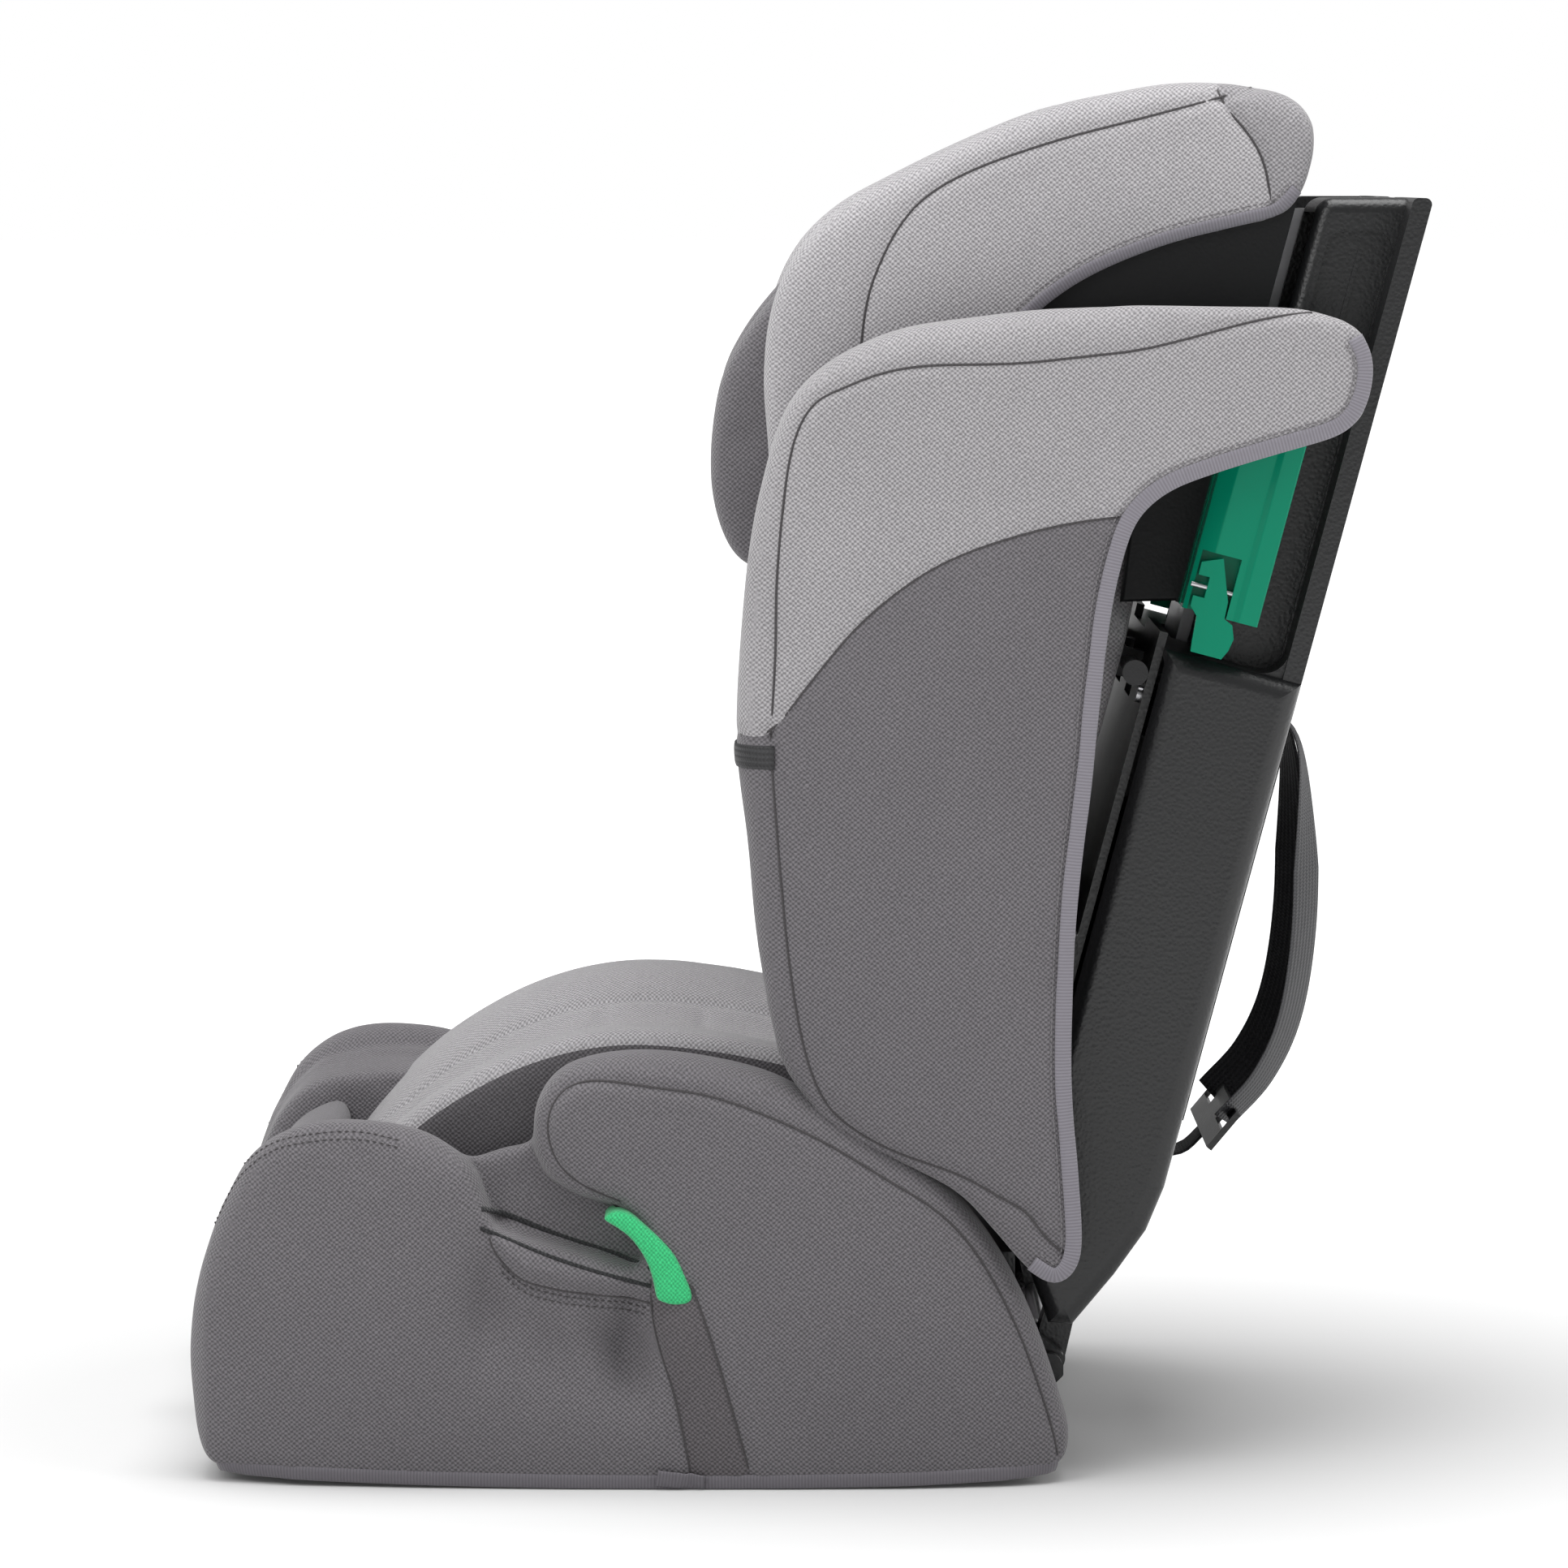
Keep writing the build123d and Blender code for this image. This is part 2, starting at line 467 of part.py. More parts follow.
guide = make_guide()
latch = prism(LATCH, LATCH_X - 1.9, LATCH_X + 2.3)
latch -= block((LATCH_X - 3, LATCH_X + 3), (-36, -27.5), (LATCH_PIN_Z - 5, LATCH_PIN_Z + 5))
latch -= Pos(LATCH_X, -24, LATCH_PIN_Z) * Rot(90, 0, 0) * Cylinder(PIN_R + RUN_GAP, 40)
keep_pair("belt_guide", back(guide))
keep("latch_pins", Compound(children=[back(latch_pin), back(mirrored(latch_pin))]))
keep_pair("belt_guide_latch", back(latch))

# ---- write one file per piece ----
os.makedirs("parts", exist_ok=True)
for name, shape in parts.items():
    export_step(shape, "parts/" + name + ".step")
    print(name, round(shape.volume / 1000, 1), "cm3", len(shape.solids()), "solids")
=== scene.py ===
import bpy
import bmesh
import json
import math
import numpy as np
from mathutils import Vector, Matrix
from mathutils.bvhtree import BVHTree


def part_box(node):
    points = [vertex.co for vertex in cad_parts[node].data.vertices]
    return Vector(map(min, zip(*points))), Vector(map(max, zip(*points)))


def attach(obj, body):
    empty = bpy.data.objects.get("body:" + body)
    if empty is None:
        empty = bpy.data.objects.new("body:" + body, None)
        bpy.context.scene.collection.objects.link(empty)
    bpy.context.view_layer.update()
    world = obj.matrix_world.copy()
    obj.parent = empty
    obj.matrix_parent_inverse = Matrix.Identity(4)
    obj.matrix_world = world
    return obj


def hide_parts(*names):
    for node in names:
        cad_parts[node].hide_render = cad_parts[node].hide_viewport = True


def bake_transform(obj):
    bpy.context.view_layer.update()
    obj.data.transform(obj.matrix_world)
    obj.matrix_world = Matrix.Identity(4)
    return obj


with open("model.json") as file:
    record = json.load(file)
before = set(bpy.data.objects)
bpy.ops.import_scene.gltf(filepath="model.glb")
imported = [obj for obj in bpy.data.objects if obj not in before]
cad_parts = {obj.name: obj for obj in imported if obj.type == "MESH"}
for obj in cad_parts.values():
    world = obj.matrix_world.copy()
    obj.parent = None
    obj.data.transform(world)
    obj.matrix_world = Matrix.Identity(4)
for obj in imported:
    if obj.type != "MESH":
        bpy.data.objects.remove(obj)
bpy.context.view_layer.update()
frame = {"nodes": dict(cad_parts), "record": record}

# Lengths in this script are millimetres until a mesh is made; MM turns them into metres.
MM = 0.001
joints = {j["name"]: j for j in frame["record"]["behaviour"]["joints"]}
HINGE = [v / MM for v in joints["backrest_recline"]["pos_m"]]
UP = joints["headrest_height"]["axis"]
LEAN = math.atan2(UP[1], UP[2])
COVER_HALF = 213.0          # half width of the base cover at its widest
WING_HALF = 213.0           # outer face of the backrest wings
RAY_START = 400.0           # X from which curves are dropped onto the left side's surfaces


# ---- points and curves
def seat_frame(points):
    """Backrest-frame (Y, Z) points turned into seat-frame ones."""
    p = np.asarray(points, float)
    y = HINGE[1] + p[:, 0] * math.cos(LEAN) + p[:, 1] * math.sin(LEAN)
    z = HINGE[2] - p[:, 0] * math.sin(LEAN) + p[:, 1] * math.cos(LEAN)
    out = p.copy()
    out[:, 0], out[:, 1] = y, z
    return out


def resample(line, step, closed):
    if closed:
        line = np.vstack([line, line[:1]])
    run = np.r_[0, np.cumsum(np.linalg.norm(np.diff(line[:, :2], axis=0), axis=1))]
    count = max(int(round(run[-1] / step)), 3)
    at = np.linspace(0, run[-1], count + 1)
    out = np.column_stack([np.interp(at, run, line[:, k]) for k in range(line.shape[1])])
    return out[:-1] if closed else out


def curve(points, step=3.0, closed=False):
    """Smooth curve through given points, evenly resampled."""
    p = np.asarray(points, float)
    ends = (p[-1:], p[:2]) if closed else (2 * p[:1] - p[1:2], 2 * p[-1:] - p[-2:-1])
    p = np.vstack([ends[0], p, ends[1]])
    t = np.linspace(0, 1, 12, endpoint=False)[:, None]
    runs = []
    for a, b, c, d in zip(p[:-3], p[1:-2], p[2:-1], p[3:]):
        runs.append(0.5 * (2 * b + (c - a) * t + (2 * a - 5 * b + 4 * c - d) * t ** 2
                           + (3 * b - a - 3 * c + d) * t ** 3))
    line = np.vstack(runs if closed else runs + [p[-2:-1]])
    return resample(line, step, closed)


def nearest(points, line, closed):
    """Distance, side normal and extra columns of the nearest place on a line."""
    a = line
    b = np.roll(line, -1, axis=0) if closed else line[1:]
    a = a if closed else line[:-1]
    d = b[:, :2] - a[:, :2]
    length2 = (d ** 2).sum(1)
    best = np.full(len(points), 1e9)
    which = np.zeros(len(points), int)
    along = np.zeros(len(points))
    for i in range(len(a)):
        rel = points - a[i, :2]
        t = np.clip(rel @ d[i] / length2[i], 0, 1)
        gap = np.hypot(*(rel - t[:, None] * d[i]).T)
        hit = gap < best
        best[hit] = gap[hit]
        which[hit] = i
        along[hit] = t[hit]
    t = along[:, None]
    unit = d / np.sqrt(length2)[:, None]
    side = np.column_stack([-unit[:, 1], unit[:, 0]])
    rel = points - (a[which, :2] + t * d[which])
    sign = np.sign((rel * side[which]).sum(1))
    extra = a[which] * (1 - t) + b[which] * t
    return best, sign, side[which], extra


def bump(x, centre, width):
    return np.exp(-((x - centre) / width) ** 2)


def back_frame(co):
    """Backrest-frame Y and Z of seat-frame points."""
    dy, dz = co[:, 1] - HINGE[1], co[:, 2] - HINGE[2]
    return dy * math.cos(LEAN) - dz * math.sin(LEAN), dy * math.sin(LEAN) + dz * math.cos(LEAN)


def push_rearward(co, move):
    """Moves points straight towards the backrest's rear."""
    co[:, 1] += move * math.cos(LEAN)
    co[:, 2] -= move * math.sin(LEAN)
    return co


def counter_clockwise(line):
    """Turns an outline so that its left-hand side is the inside."""
    y, z = line[:, 0], line[:, 1]
    area = (y * np.roll(z, -1) - np.roll(y, -1) * z).sum()
    return line if area > 0 else line[::-1].copy()


def side_outline(points, step=3.0):
    """Closed side outline of (Y, Z) or (Y, Z, edge radius) rows in the seat's frame."""
    return counter_clockwise(curve(points, step, True))


def leaning_outline(points):
    """The same, from rows in the backrest's frame."""
    return side_outline(seat_frame(np.array(points, float)))


# ---- materials
def new_material(name):
    material = bpy.data.materials.new(name)
    material.use_nodes = True
    net = material.node_tree
    return material, net, net.nodes["Principled BSDF"]


def set_inputs(node, **values):
    """Uniform values by socket name, with underscores for spaces."""
    for name, value in values.items():
        node.inputs[name.replace("_", " ")].default_value = value


def maths(net, kind, a, b=None, clamp=False):
    node = net.nodes.new("ShaderNodeMath")
    node.operation = kind
    node.use_clamp = clamp
    for socket, value in zip(node.inputs, (a, b)):
        if value is None:
            continue
        if isinstance(value, (int, float)):
            socket.default_value = value
        else:
            net.links.new(value, socket)
    return node.outputs[0]


def mix_colour(net, factor, a, b, blend="MIX"):
    node = net.nodes.new("ShaderNodeMix")
    node.data_type = "RGBA"
    node.blend_type = blend
    for socket, value in ((node.inputs[0], factor), (node.inputs[6], a), (node.inputs[7], b)):
        if isinstance(value, (int, float)):
            socket.default_value = value
        elif isinstance(value, tuple):
            socket.default_value = (*value, 1.0) if len(value) == 3 else value
        else:
            net.links.new(value, socket)
    return node.outputs[2]


def noise(net, vector, scale, detail=2.0):
    node = net.nodes.new("ShaderNodeTexNoise")
    set_inputs(node, Scale=scale, Detail=detail)
    net.links.new(vector, node.inputs["Vector"])
    return node.outputs["Fac"]


def ramp(net, value, gain, offset, clamp=False):
    """value * gain + offset"""
    scaled = maths(net, "MULTIPLY", value, gain)
    return maths(net, "ADD", scaled, offset, clamp)


def unit_wave(net, angle):
    """Sine of an angle, moved into 0 to 1."""
    wave = maths(net, "SINE", angle)
    return ramp(net, wave, 0.5, 0.5)


def add_relief(net, shader, height, strength, distance):
    relief = net.nodes.new("ShaderNodeBump")
    set_inputs(relief, Strength=strength, Distance=distance)
    net.links.new(height, relief.inputs["Height"])
    net.links.new(relief.outputs[0], shader.inputs["Normal"])


def ribbon_uv(net):
    """Across and along coordinates of a ribbon, in millimetres."""
    uv = net.nodes.new("ShaderNodeUVMap")
    split = net.nodes.new("ShaderNodeSeparateXYZ")
    net.links.new(uv.outputs[0], split.inputs[0])
    return split.outputs[0], split.outputs[1]


def three_way_weave(net, coords, cell, row):
    """Staggered knit bumps projected on the three axes: 1 on a bump, 0 in a gap."""
    jitter = net.nodes.new("ShaderNodeTexNoise")
    set_inputs(jitter, Scale=300.0, Detail=2.0)
    net.links.new(coords.outputs["Object"], jitter.inputs["Vector"])
    shift = net.nodes.new("ShaderNodeVectorMath")
    shift.operation = "MULTIPLY_ADD"
    net.links.new(jitter.outputs["Color"], shift.inputs[0])
    shift.inputs[1].default_value = (0.0017, 0.0017, 0.0017)
    net.links.new(coords.outputs["Object"], shift.inputs[2])
    split = net.nodes.new("ShaderNodeSeparateXYZ")
    net.links.new(shift.outputs[0], split.inputs[0])
    facing = net.nodes.new("ShaderNodeSeparateXYZ")
    net.links.new(coords.outputs["Normal"], facing.inputs[0])
    turns = [2 * math.pi / (length * MM) for length in (cell, row)]
    waves = [[maths(net, "SINE", maths(net, "MULTIPLY", split.outputs[axis], turn)) for turn in turns]
             for axis in range(3)]
    total, weights = None, None
    for u, v, n in ((1, 2, 0), (0, 2, 1), (0, 1, 2)):
        lattice = maths(net, "MULTIPLY", waves[u][0], waves[v][1])
        weight = maths(net, "POWER", maths(net, "ABSOLUTE", facing.outputs[n]), 6.0)
        part = maths(net, "MULTIPLY", lattice, weight)
        total = part if total is None else maths(net, "ADD", total, part)
        weights = weight if weights is None else maths(net, "ADD", weights, weight)
    mean = maths(net, "DIVIDE", total, weights)
    return ramp(net, mean, 0.75, 0.5, clamp=True)


def fabric(name, colour, second=None, cell=2.6, row=2.3, contrast=0.55):
    """Woven cover cloth; second is the colour where the split attribute is negative."""
    material, net, shader = new_material(name)
    coords = net.nodes.new("ShaderNodeTexCoord")
    weave = three_way_weave(net, coords, cell, row)
    base = colour
    if second is not None:
        split = net.nodes.new("ShaderNodeAttribute")
        split.attribute_name = "split"
        side = maths(net, "GREATER_THAN", split.outputs["Fac"], 0.0)
        base = mix_colour(net, side, second, colour)
    dark = mix_colour(net, 1.0, base, (contrast,) * 3, "MULTIPLY")
    light = mix_colour(net, 1.0, base, (1.24, 1.24, 1.24), "MULTIPLY")
    woven = mix_colour(net, weave, dark, light)
    yarn = noise(net, coords.outputs["Object"], 1100.0, 1.0)
    worn = noise(net, coords.outputs["Object"], 14.0, 3.0)
    speck = ramp(net, yarn, 0.50, 0.75)
    patch = ramp(net, worn, 0.16, 0.92)
    shade = maths(net, "MULTIPLY", speck, patch)
    grey = net.nodes.new("ShaderNodeCombineColor")
    for socket in grey.inputs[:3]:
        net.links.new(shade, socket)
    final = mix_colour(net, 1.0, woven, grey.outputs[0], "MULTIPLY")
    net.links.new(final, shader.inputs["Base Color"])
    height = maths(net, "ADD", weave, maths(net, "MULTIPLY", yarn, 0.4))
    add_relief(net, shader, height, 0.55, 0.0005)
    set_inputs(shader, Roughness=0.88, Sheen_Weight=0.25, Sheen_Roughness=0.45, Specular_IOR_Level=0.25)
    return material


def binding_cloth(name, colour):
    """Fine cross-ribbed tape; U runs across it and V along it, in millimetres."""
    material, net, shader = new_material(name)
    _, along = ribbon_uv(net)
    rib = unit_wave(net, maths(net, "MULTIPLY", along, 4.2))
    dark = tuple(0.72 * c for c in colour)
    net.links.new(mix_colour(net, rib, dark, colour), shader.inputs["Base Color"])
    add_relief(net, shader, rib, 0.3, 0.0003)
    set_inputs(shader, Roughness=0.8, Sheen_Weight=0.2)
    return material


def webbing_cloth(name, colour, ridges):
    """Seat-belt webbing: lengthwise ridges with a fine herringbone."""
    material, net, shader = new_material(name)
    across, along = ribbon_uv(net)
    ridge = unit_wave(net, maths(net, "MULTIPLY", across, ridges))
    lean = maths(net, "ADD", maths(net, "MULTIPLY", along, 3.6), maths(net, "MULTIPLY", ridge, 3.0))
    twill = unit_wave(net, lean)
    height = maths(net, "ADD", ridge, maths(net, "MULTIPLY", twill, 0.45))
    bright = tuple(min(1, 2.6 * c + 0.01) for c in colour)
    tone = maths(net, "MULTIPLY", height, 0.6)
    net.links.new(mix_colour(net, tone, colour, bright), shader.inputs["Base Color"])
    add_relief(net, shader, height, 0.6, 0.0006)
    set_inputs(shader, Roughness=0.55)
    return material


def plastic(name, colour, rough, grain=0.0, cell=650.0, coat=0.0, wear=0.12, shine=0.5):
    """Moulded plastic, with an optional leather grain and a little uneven gloss."""
    material, net, shader = new_material(name)
    coords = net.nodes.new("ShaderNodeTexCoord")
    uneven = noise(net, coords.outputs["Object"], 9.0, 4.0)
    fine = noise(net, coords.outputs["Object"], 420.0, 2.0)
    tone = ramp(net, uneven, 0.35, 0.82)
    bright = tuple(min(1.0, c * 1.35) for c in colour)
    lift = maths(net, "SUBTRACT", tone, 0.8, clamp=True)
    net.links.new(mix_colour(net, lift, colour, bright), shader.inputs["Base Color"])
    gloss = ramp(net, uneven, wear * 2, rough - wear)
    rough_spots = maths(net, "MULTIPLY", fine, 0.05)
    net.links.new(maths(net, "ADD", gloss, rough_spots), shader.inputs["Roughness"])
    height = fine
    if grain:
        pebbles = net.nodes.new("ShaderNodeTexVoronoi")
        pebbles.feature = "SMOOTH_F1"
        pebbles.inputs["Scale"].default_value = cell
        net.links.new(coords.outputs["Object"], pebbles.inputs["Vector"])
        height = maths(net, "MULTIPLY", pebbles.outputs["Distance"], grain)
    add_relief(net, shader, height, 0.30 if grain else 0.02, 0.0005)
    set_inputs(shader, Specular_IOR_Level=shine, Coat_Weight=coat, Coat_Roughness=0.18)
    return material


def metal(name, colour, rough):
    material, net, shader = new_material(name)
    coords = net.nodes.new("ShaderNodeTexCoord")
    streak = noise(net, coords.outputs["Object"], 160.0, 4.0)
    net.links.new(ramp(net, streak, 0.22, rough), shader.inputs["Roughness"])
    dark = tuple(0.75 * c for c in colour)
    net.links.new(mix_colour(net, streak, dark, colour), shader.inputs["Base Color"])
    set_inputs(shader, Metallic=1.0)
    return material


LIGHT = (0.345, 0.334, 0.345)
# The headrest's light cloth is the light fabric painted about a fifth brighter, to make up for the shade the
# headrest sits in.
HEAD_LIGHT_PAINTED_BRIGHTER = (0.415, 0.402, 0.416)
DARK = (0.149, 0.141, 0.151)
GORE = (0.114, 0.105, 0.112)
fabric_split = fabric("wing_fabric", LIGHT, DARK)
fabric_light = fabric("light_fabric", LIGHT)
fabric_head_painted_bright = fabric("headrest_fabric_painted_bright", HEAD_LIGHT_PAINTED_BRIGHTER)
fabric_cushion = fabric("cushion_fabric", (0.320, 0.311, 0.322), (0.088, 0.083, 0.089))
fabric_dark = fabric("dark_fabric", DARK)
fabric_side = fabric("side_fabric", DARK, GORE)
fabric_wrap_painted_bright = fabric("headrest_wrap_painted_bright", HEAD_LIGHT_PAINTED_BRIGHTER, (0.310, 0.300, 0.312))
fabric_green = fabric("green_fabric", (0.045, 0.50, 0.19), cell=2.0, row=2.2, contrast=0.75)
tape = binding_cloth("binding_tape", (0.225, 0.213, 0.242))
hem_tape = binding_cloth("hem_tape", (0.150, 0.140, 0.158))
elastic = webbing_cloth("elastic", (0.010, 0.010, 0.011), 2.4)
webbing = webbing_cloth("webbing", (0.010, 0.010, 0.012), 1.35)
pad_cloth_and_fold_shade = fabric("harness_pad", (0.030, 0.030, 0.032), cell=2.2, row=2.4)
thread_grey = binding_cloth("thread_grey", (0.20, 0.19, 0.20))
# Dark thread for the stitch rows, also used for the cords that paint the shade in the ditches of plain
# seams.
dark_thread_and_seam_shade = binding_cloth("dark_thread_and_seam_shade", (0.055, 0.05, 0.053))
black_shell = plastic("blow_moulded_black", (0.0075, 0.0078, 0.0084), 0.30, grain=1.0, cell=620.0,
                      wear=0.08, shine=0.50)
# A darker, duller copy of the black plastic: painted shade for the headrest shell, which sits in shadow.
black_painted_shade = plastic("shaded_black", (0.006, 0.0062, 0.0068), 0.42, grain=0.8, shine=0.22)
black_trim = plastic("trim_black", (0.014, 0.014, 0.015), 0.38, grain=0.5, cell=1100.0)
green_gloss = plastic("green_plastic", (0.0, 0.185, 0.104), 0.22, wear=0.03, shine=0.16)
red_gloss = plastic("red_plastic", (0.55, 0.02, 0.012), 0.25, coat=0.4, wear=0.04)
steel = metal("zinc_steel", (0.62, 0.62, 0.64), 0.22)


# ---- mesh builders
def into_scene(item):
    bpy.context.scene.collection.objects.link(item)


def add_object(name, verts, faces, material):
    mesh = bpy.data.meshes.new(name)
    mesh.from_pydata([tuple(v) for v in verts], [], [tuple(f) for f in faces])
    mesh.materials.append(material)
    mesh.shade_smooth()
    mesh.update()
    piece = bpy.data.objects.new(name, mesh)
    into_scene(piece)
    return piece


def coordinates(mesh):
    co = np.empty(len(mesh.vertices) * 3)
    mesh.vertices.foreach_get("co", co)
    return co.reshape(-1, 3) / MM


def set_coordinates(mesh, co):
    mesh.vertices.foreach_set("co", (co * MM).ravel())
    mesh.update()


def normals(mesh):
    out = np.empty(len(mesh.vertices) * 3)
    mesh.vertices.foreach_get("normal", out)
    return out.reshape(-1, 3)


def bake_modifiers(piece):
    """Applies a piece's modifiers to its mesh."""
    graph = bpy.context.evaluated_depsgraph_get()
    mesh = bpy.data.meshes.new_from_object(piece.evaluated_get(graph))
    piece.modifiers.clear()
    old = piece.data
    piece.data = mesh
    bpy.data.meshes.remove(old)


def prism_geometry(outline, x0, x1, verts, faces):
    """Adds a closed prism of a (Y, Z) outline between two X limits."""
    n = len(outline)
    start = len(verts)
    for x in (x0, x1):
        verts.extend((x * MM, y * MM, z * MM) for y, z in outline[:, :2])
    faces.append([start + i for i in range(n)])
    faces.append([start + n + i for i in range(n)][::-1])
    for i in range(n):
        j = (i + 1) % n
        faces.append([start + i, start + n + i, start + n + j, start + j])


def inflate(piece, pinned, cap):
    """Swells a closed pad with cloth pressure, at most cap millimetres anywhere."""
    before = coordinates(piece.data)
    group = piece.vertex_groups.new(name="held")
    for weight in (0.35, 1.0):
        chosen = np.nonzero(pinned >= weight)[0].tolist()
        group.add(chosen, weight, "REPLACE")
    cloth = piece.modifiers.new("Cloth", "CLOTH")
    settings = cloth.settings
    settings.vertex_group_mass = "held"
    settings.quality = 4
    settings.mass = 0.3
    settings.tension_stiffness = 22
    settings.compression_stiffness = 22
    settings.shear_stiffness = 8
    settings.bending_stiffness = 1.5
    settings.use_pressure = True
    settings.uniform_pressure_force = 3.0
    settings.effector_weights.gravity = 0
    cloth.collision_settings.use_collision = False
    scene = bpy.context.scene
    for number in range(1, 19):
        scene.frame_set(number)
    bake_modifiers(piece)
    scene.frame_set(1)
    after = coordinates(piece.data)
    move = after - before
    size = np.linalg.norm(move, axis=1)
    limit = cap * np.tanh(size / cap)
    move *= (limit / np.maximum(size, 1e-6))[:, None]
    set_coordinates(piece.data, before + move)
    piece.vertex_groups.clear()


def pad(name, outline, spans, material, seams=(), shape=None, voxel=4.5, crown=3.0,
        cap=5.0, soften=6, groove=1.6):
    """Padded form from a side outline with rows (Y, Z, edge radius).

    spans lists (prism outline, inner X, outer X); seams are (Y, Z) curves pressed into
    the outer face; shape(co) makes the last change of form, in millimetres."""
    verts, faces = [], []
    for line, x0, x1 in spans:
        prism_geometry(line, x0, x1, verts, faces)
    piece = add_object(name, verts, faces, material)
    bm = bmesh.new()
    bm.from_mesh(piece.data)
    bmesh.ops.triangulate(bm, faces=[f for f in bm.faces if len(f.verts) > 4])
    bmesh.ops.recalc_face_normals(bm, faces=bm.faces)
    bm.to_mesh(piece.data)
    bm.free()
    remesh = piece.modifiers.new("Remesh", "REMESH")
    remesh.mode = "VOXEL"
    remesh.voxel_size = voxel * MM
    bake_modifiers(piece)
    co = coordinates(piece.data)
    x0 = np.full(len(co), 1e9)
    x1 = np.full(len(co), -1e9)
    for line, low, high in spans:
        gap, sign, _, _ = nearest(co[:, 1:], line, True)
        inside = (sign > 0) | (gap < voxel * 0.7)
        x0[inside] = np.minimum(x0[inside], low)
        x1[inside] = np.maximum(x1[inside], high)
    lost = x1 < x0
    x0[lost], x1[lost] = spans[0][1], spans[0][2]
    round_edges(co, outline, x0, x1)
    inner_depth = np.clip((co[:, 0] - x0) / (x1 - x0), 0, 1)
    depth, _, _, _ = nearest(co[:, 1:], outline, True)
    lift = crown * (1 - np.exp(-depth / 26))
    co[:, 0] += lift * (2 * inner_depth - 1)
    set_coordinates(piece.data, co)
    smoother = piece.modifiers.new("Smooth", "SMOOTH")
    smoother.iterations = soften
    smoother.factor = 0.5
    bake_modifiers(piece)
    if cap:
        co = coordinates(piece.data)
        pinned = np.zeros(len(co))
        for line in seams:
            gap, _, _, _ = nearest(co[:, 1:], line, False)
            pinned = np.maximum(pinned, np.where(gap < 0.6 * voxel, 1.0, np.where(gap < voxel, 0.35, 0)))
        edge, _, _, _ = nearest(co[:, 1:], outline, True)
        pinned = np.where(edge < 0.9 * voxel, 1.0, pinned)
        inflate(piece, pinned, cap)
    finer = piece.modifiers.new("Finer", "SUBSURF")
    finer.levels = 1
    finer.render_levels = 1
    bake_modifiers(piece)
    co = coordinates(piece.data)
    away = normals(piece.data)
    outer = np.clip(away[:, 0] * 1.6 + 0.3, 0, 1)
    for line in seams:
        gap, _, _, _ = nearest(co[:, 1:], line, False)
        co -= away * (groove * outer * np.exp(-(gap / 2.6) ** 2))[:, None]
    if shape:
        co = shape(co)
    set_coordinates(piece.data, co)
    piece.data.shade_smooth()
    return piece


def round_edges(co, outline, x0, x1):
    """Rolls the prism's rims over the radius in the outline's third column.

    A thin edge spends most of its thickness on the outer (+X) rim."""
    gap, sign, side, extra = nearest(co[:, 1:], outline, True)
    depth = np.maximum(gap * sign, 0)
    thick = x1 - x0
    outer = np.minimum(extra[:, 2], np.maximum(0.74 * thick, thick - extra[:, 2]))
    inner = np.minimum(extra[:, 2], thick - outer)
    for radius, off, way in ((outer, x1 - co[:, 0], -1), (inner, co[:, 0] - x0, 1)):
        off = np.maximum(off, 0)
        dx, da = radius - depth, radius - off
        reach = np.hypot(dx, da)
        corner = (dx > 0) & (da > 0) & (reach > radius)
        scale = np.where(corner, radius / np.maximum(reach, 1e-6), 1.0)
        move = np.where(corner, dx * (1 - scale), 0)
        co[:, 1] += move * side[:, 0]
        co[:, 2] += move * side[:, 1]
        co[:, 0] += way * np.where(corner, da * (1 - scale), 0)


def store(piece, name, values):
    layer = piece.data.attributes.new(name, "FLOAT", "POINT")
    layer.data.foreach_set("value", np.asarray(values, dtype=np.float32))


def surface(piece):
    """Closest-hit tree of a mesh, in metres."""
    mesh = piece.data
    verts = [v.co.copy() for v in mesh.vertices]
    polys = [tuple(p.vertices) for p in mesh.polygons]
    return BVHTree.FromPolygons(verts, polys)


def drape(tree, line, lift=0.0):
    """Drops a (Y, Z) curve onto a surface along X; returns points and normals in mm."""
    points, out_normals = [], []
    for y, z in line[:, :2]:
        start = Vector((RAY_START * MM, y * MM, z * MM))
        hit, normal, _, _ = tree.ray_cast(start, Vector((-1.0, 0, 0)))
        if hit is None:
            continue
        points.append(np.array(hit) / MM + np.array(normal) * lift)
        out_normals.append(np.array(normal))
    return np.array(points), np.array(out_normals)


def relax(points, rounds=6):
    """Evens out the small steps that a ray-cast leaves in a curve."""
    p = points.copy()
    for _ in range(rounds):
        p[1:-1] = 0.5 * p[1:-1] + 0.25 * (p[:-2] + p[2:])
    return p


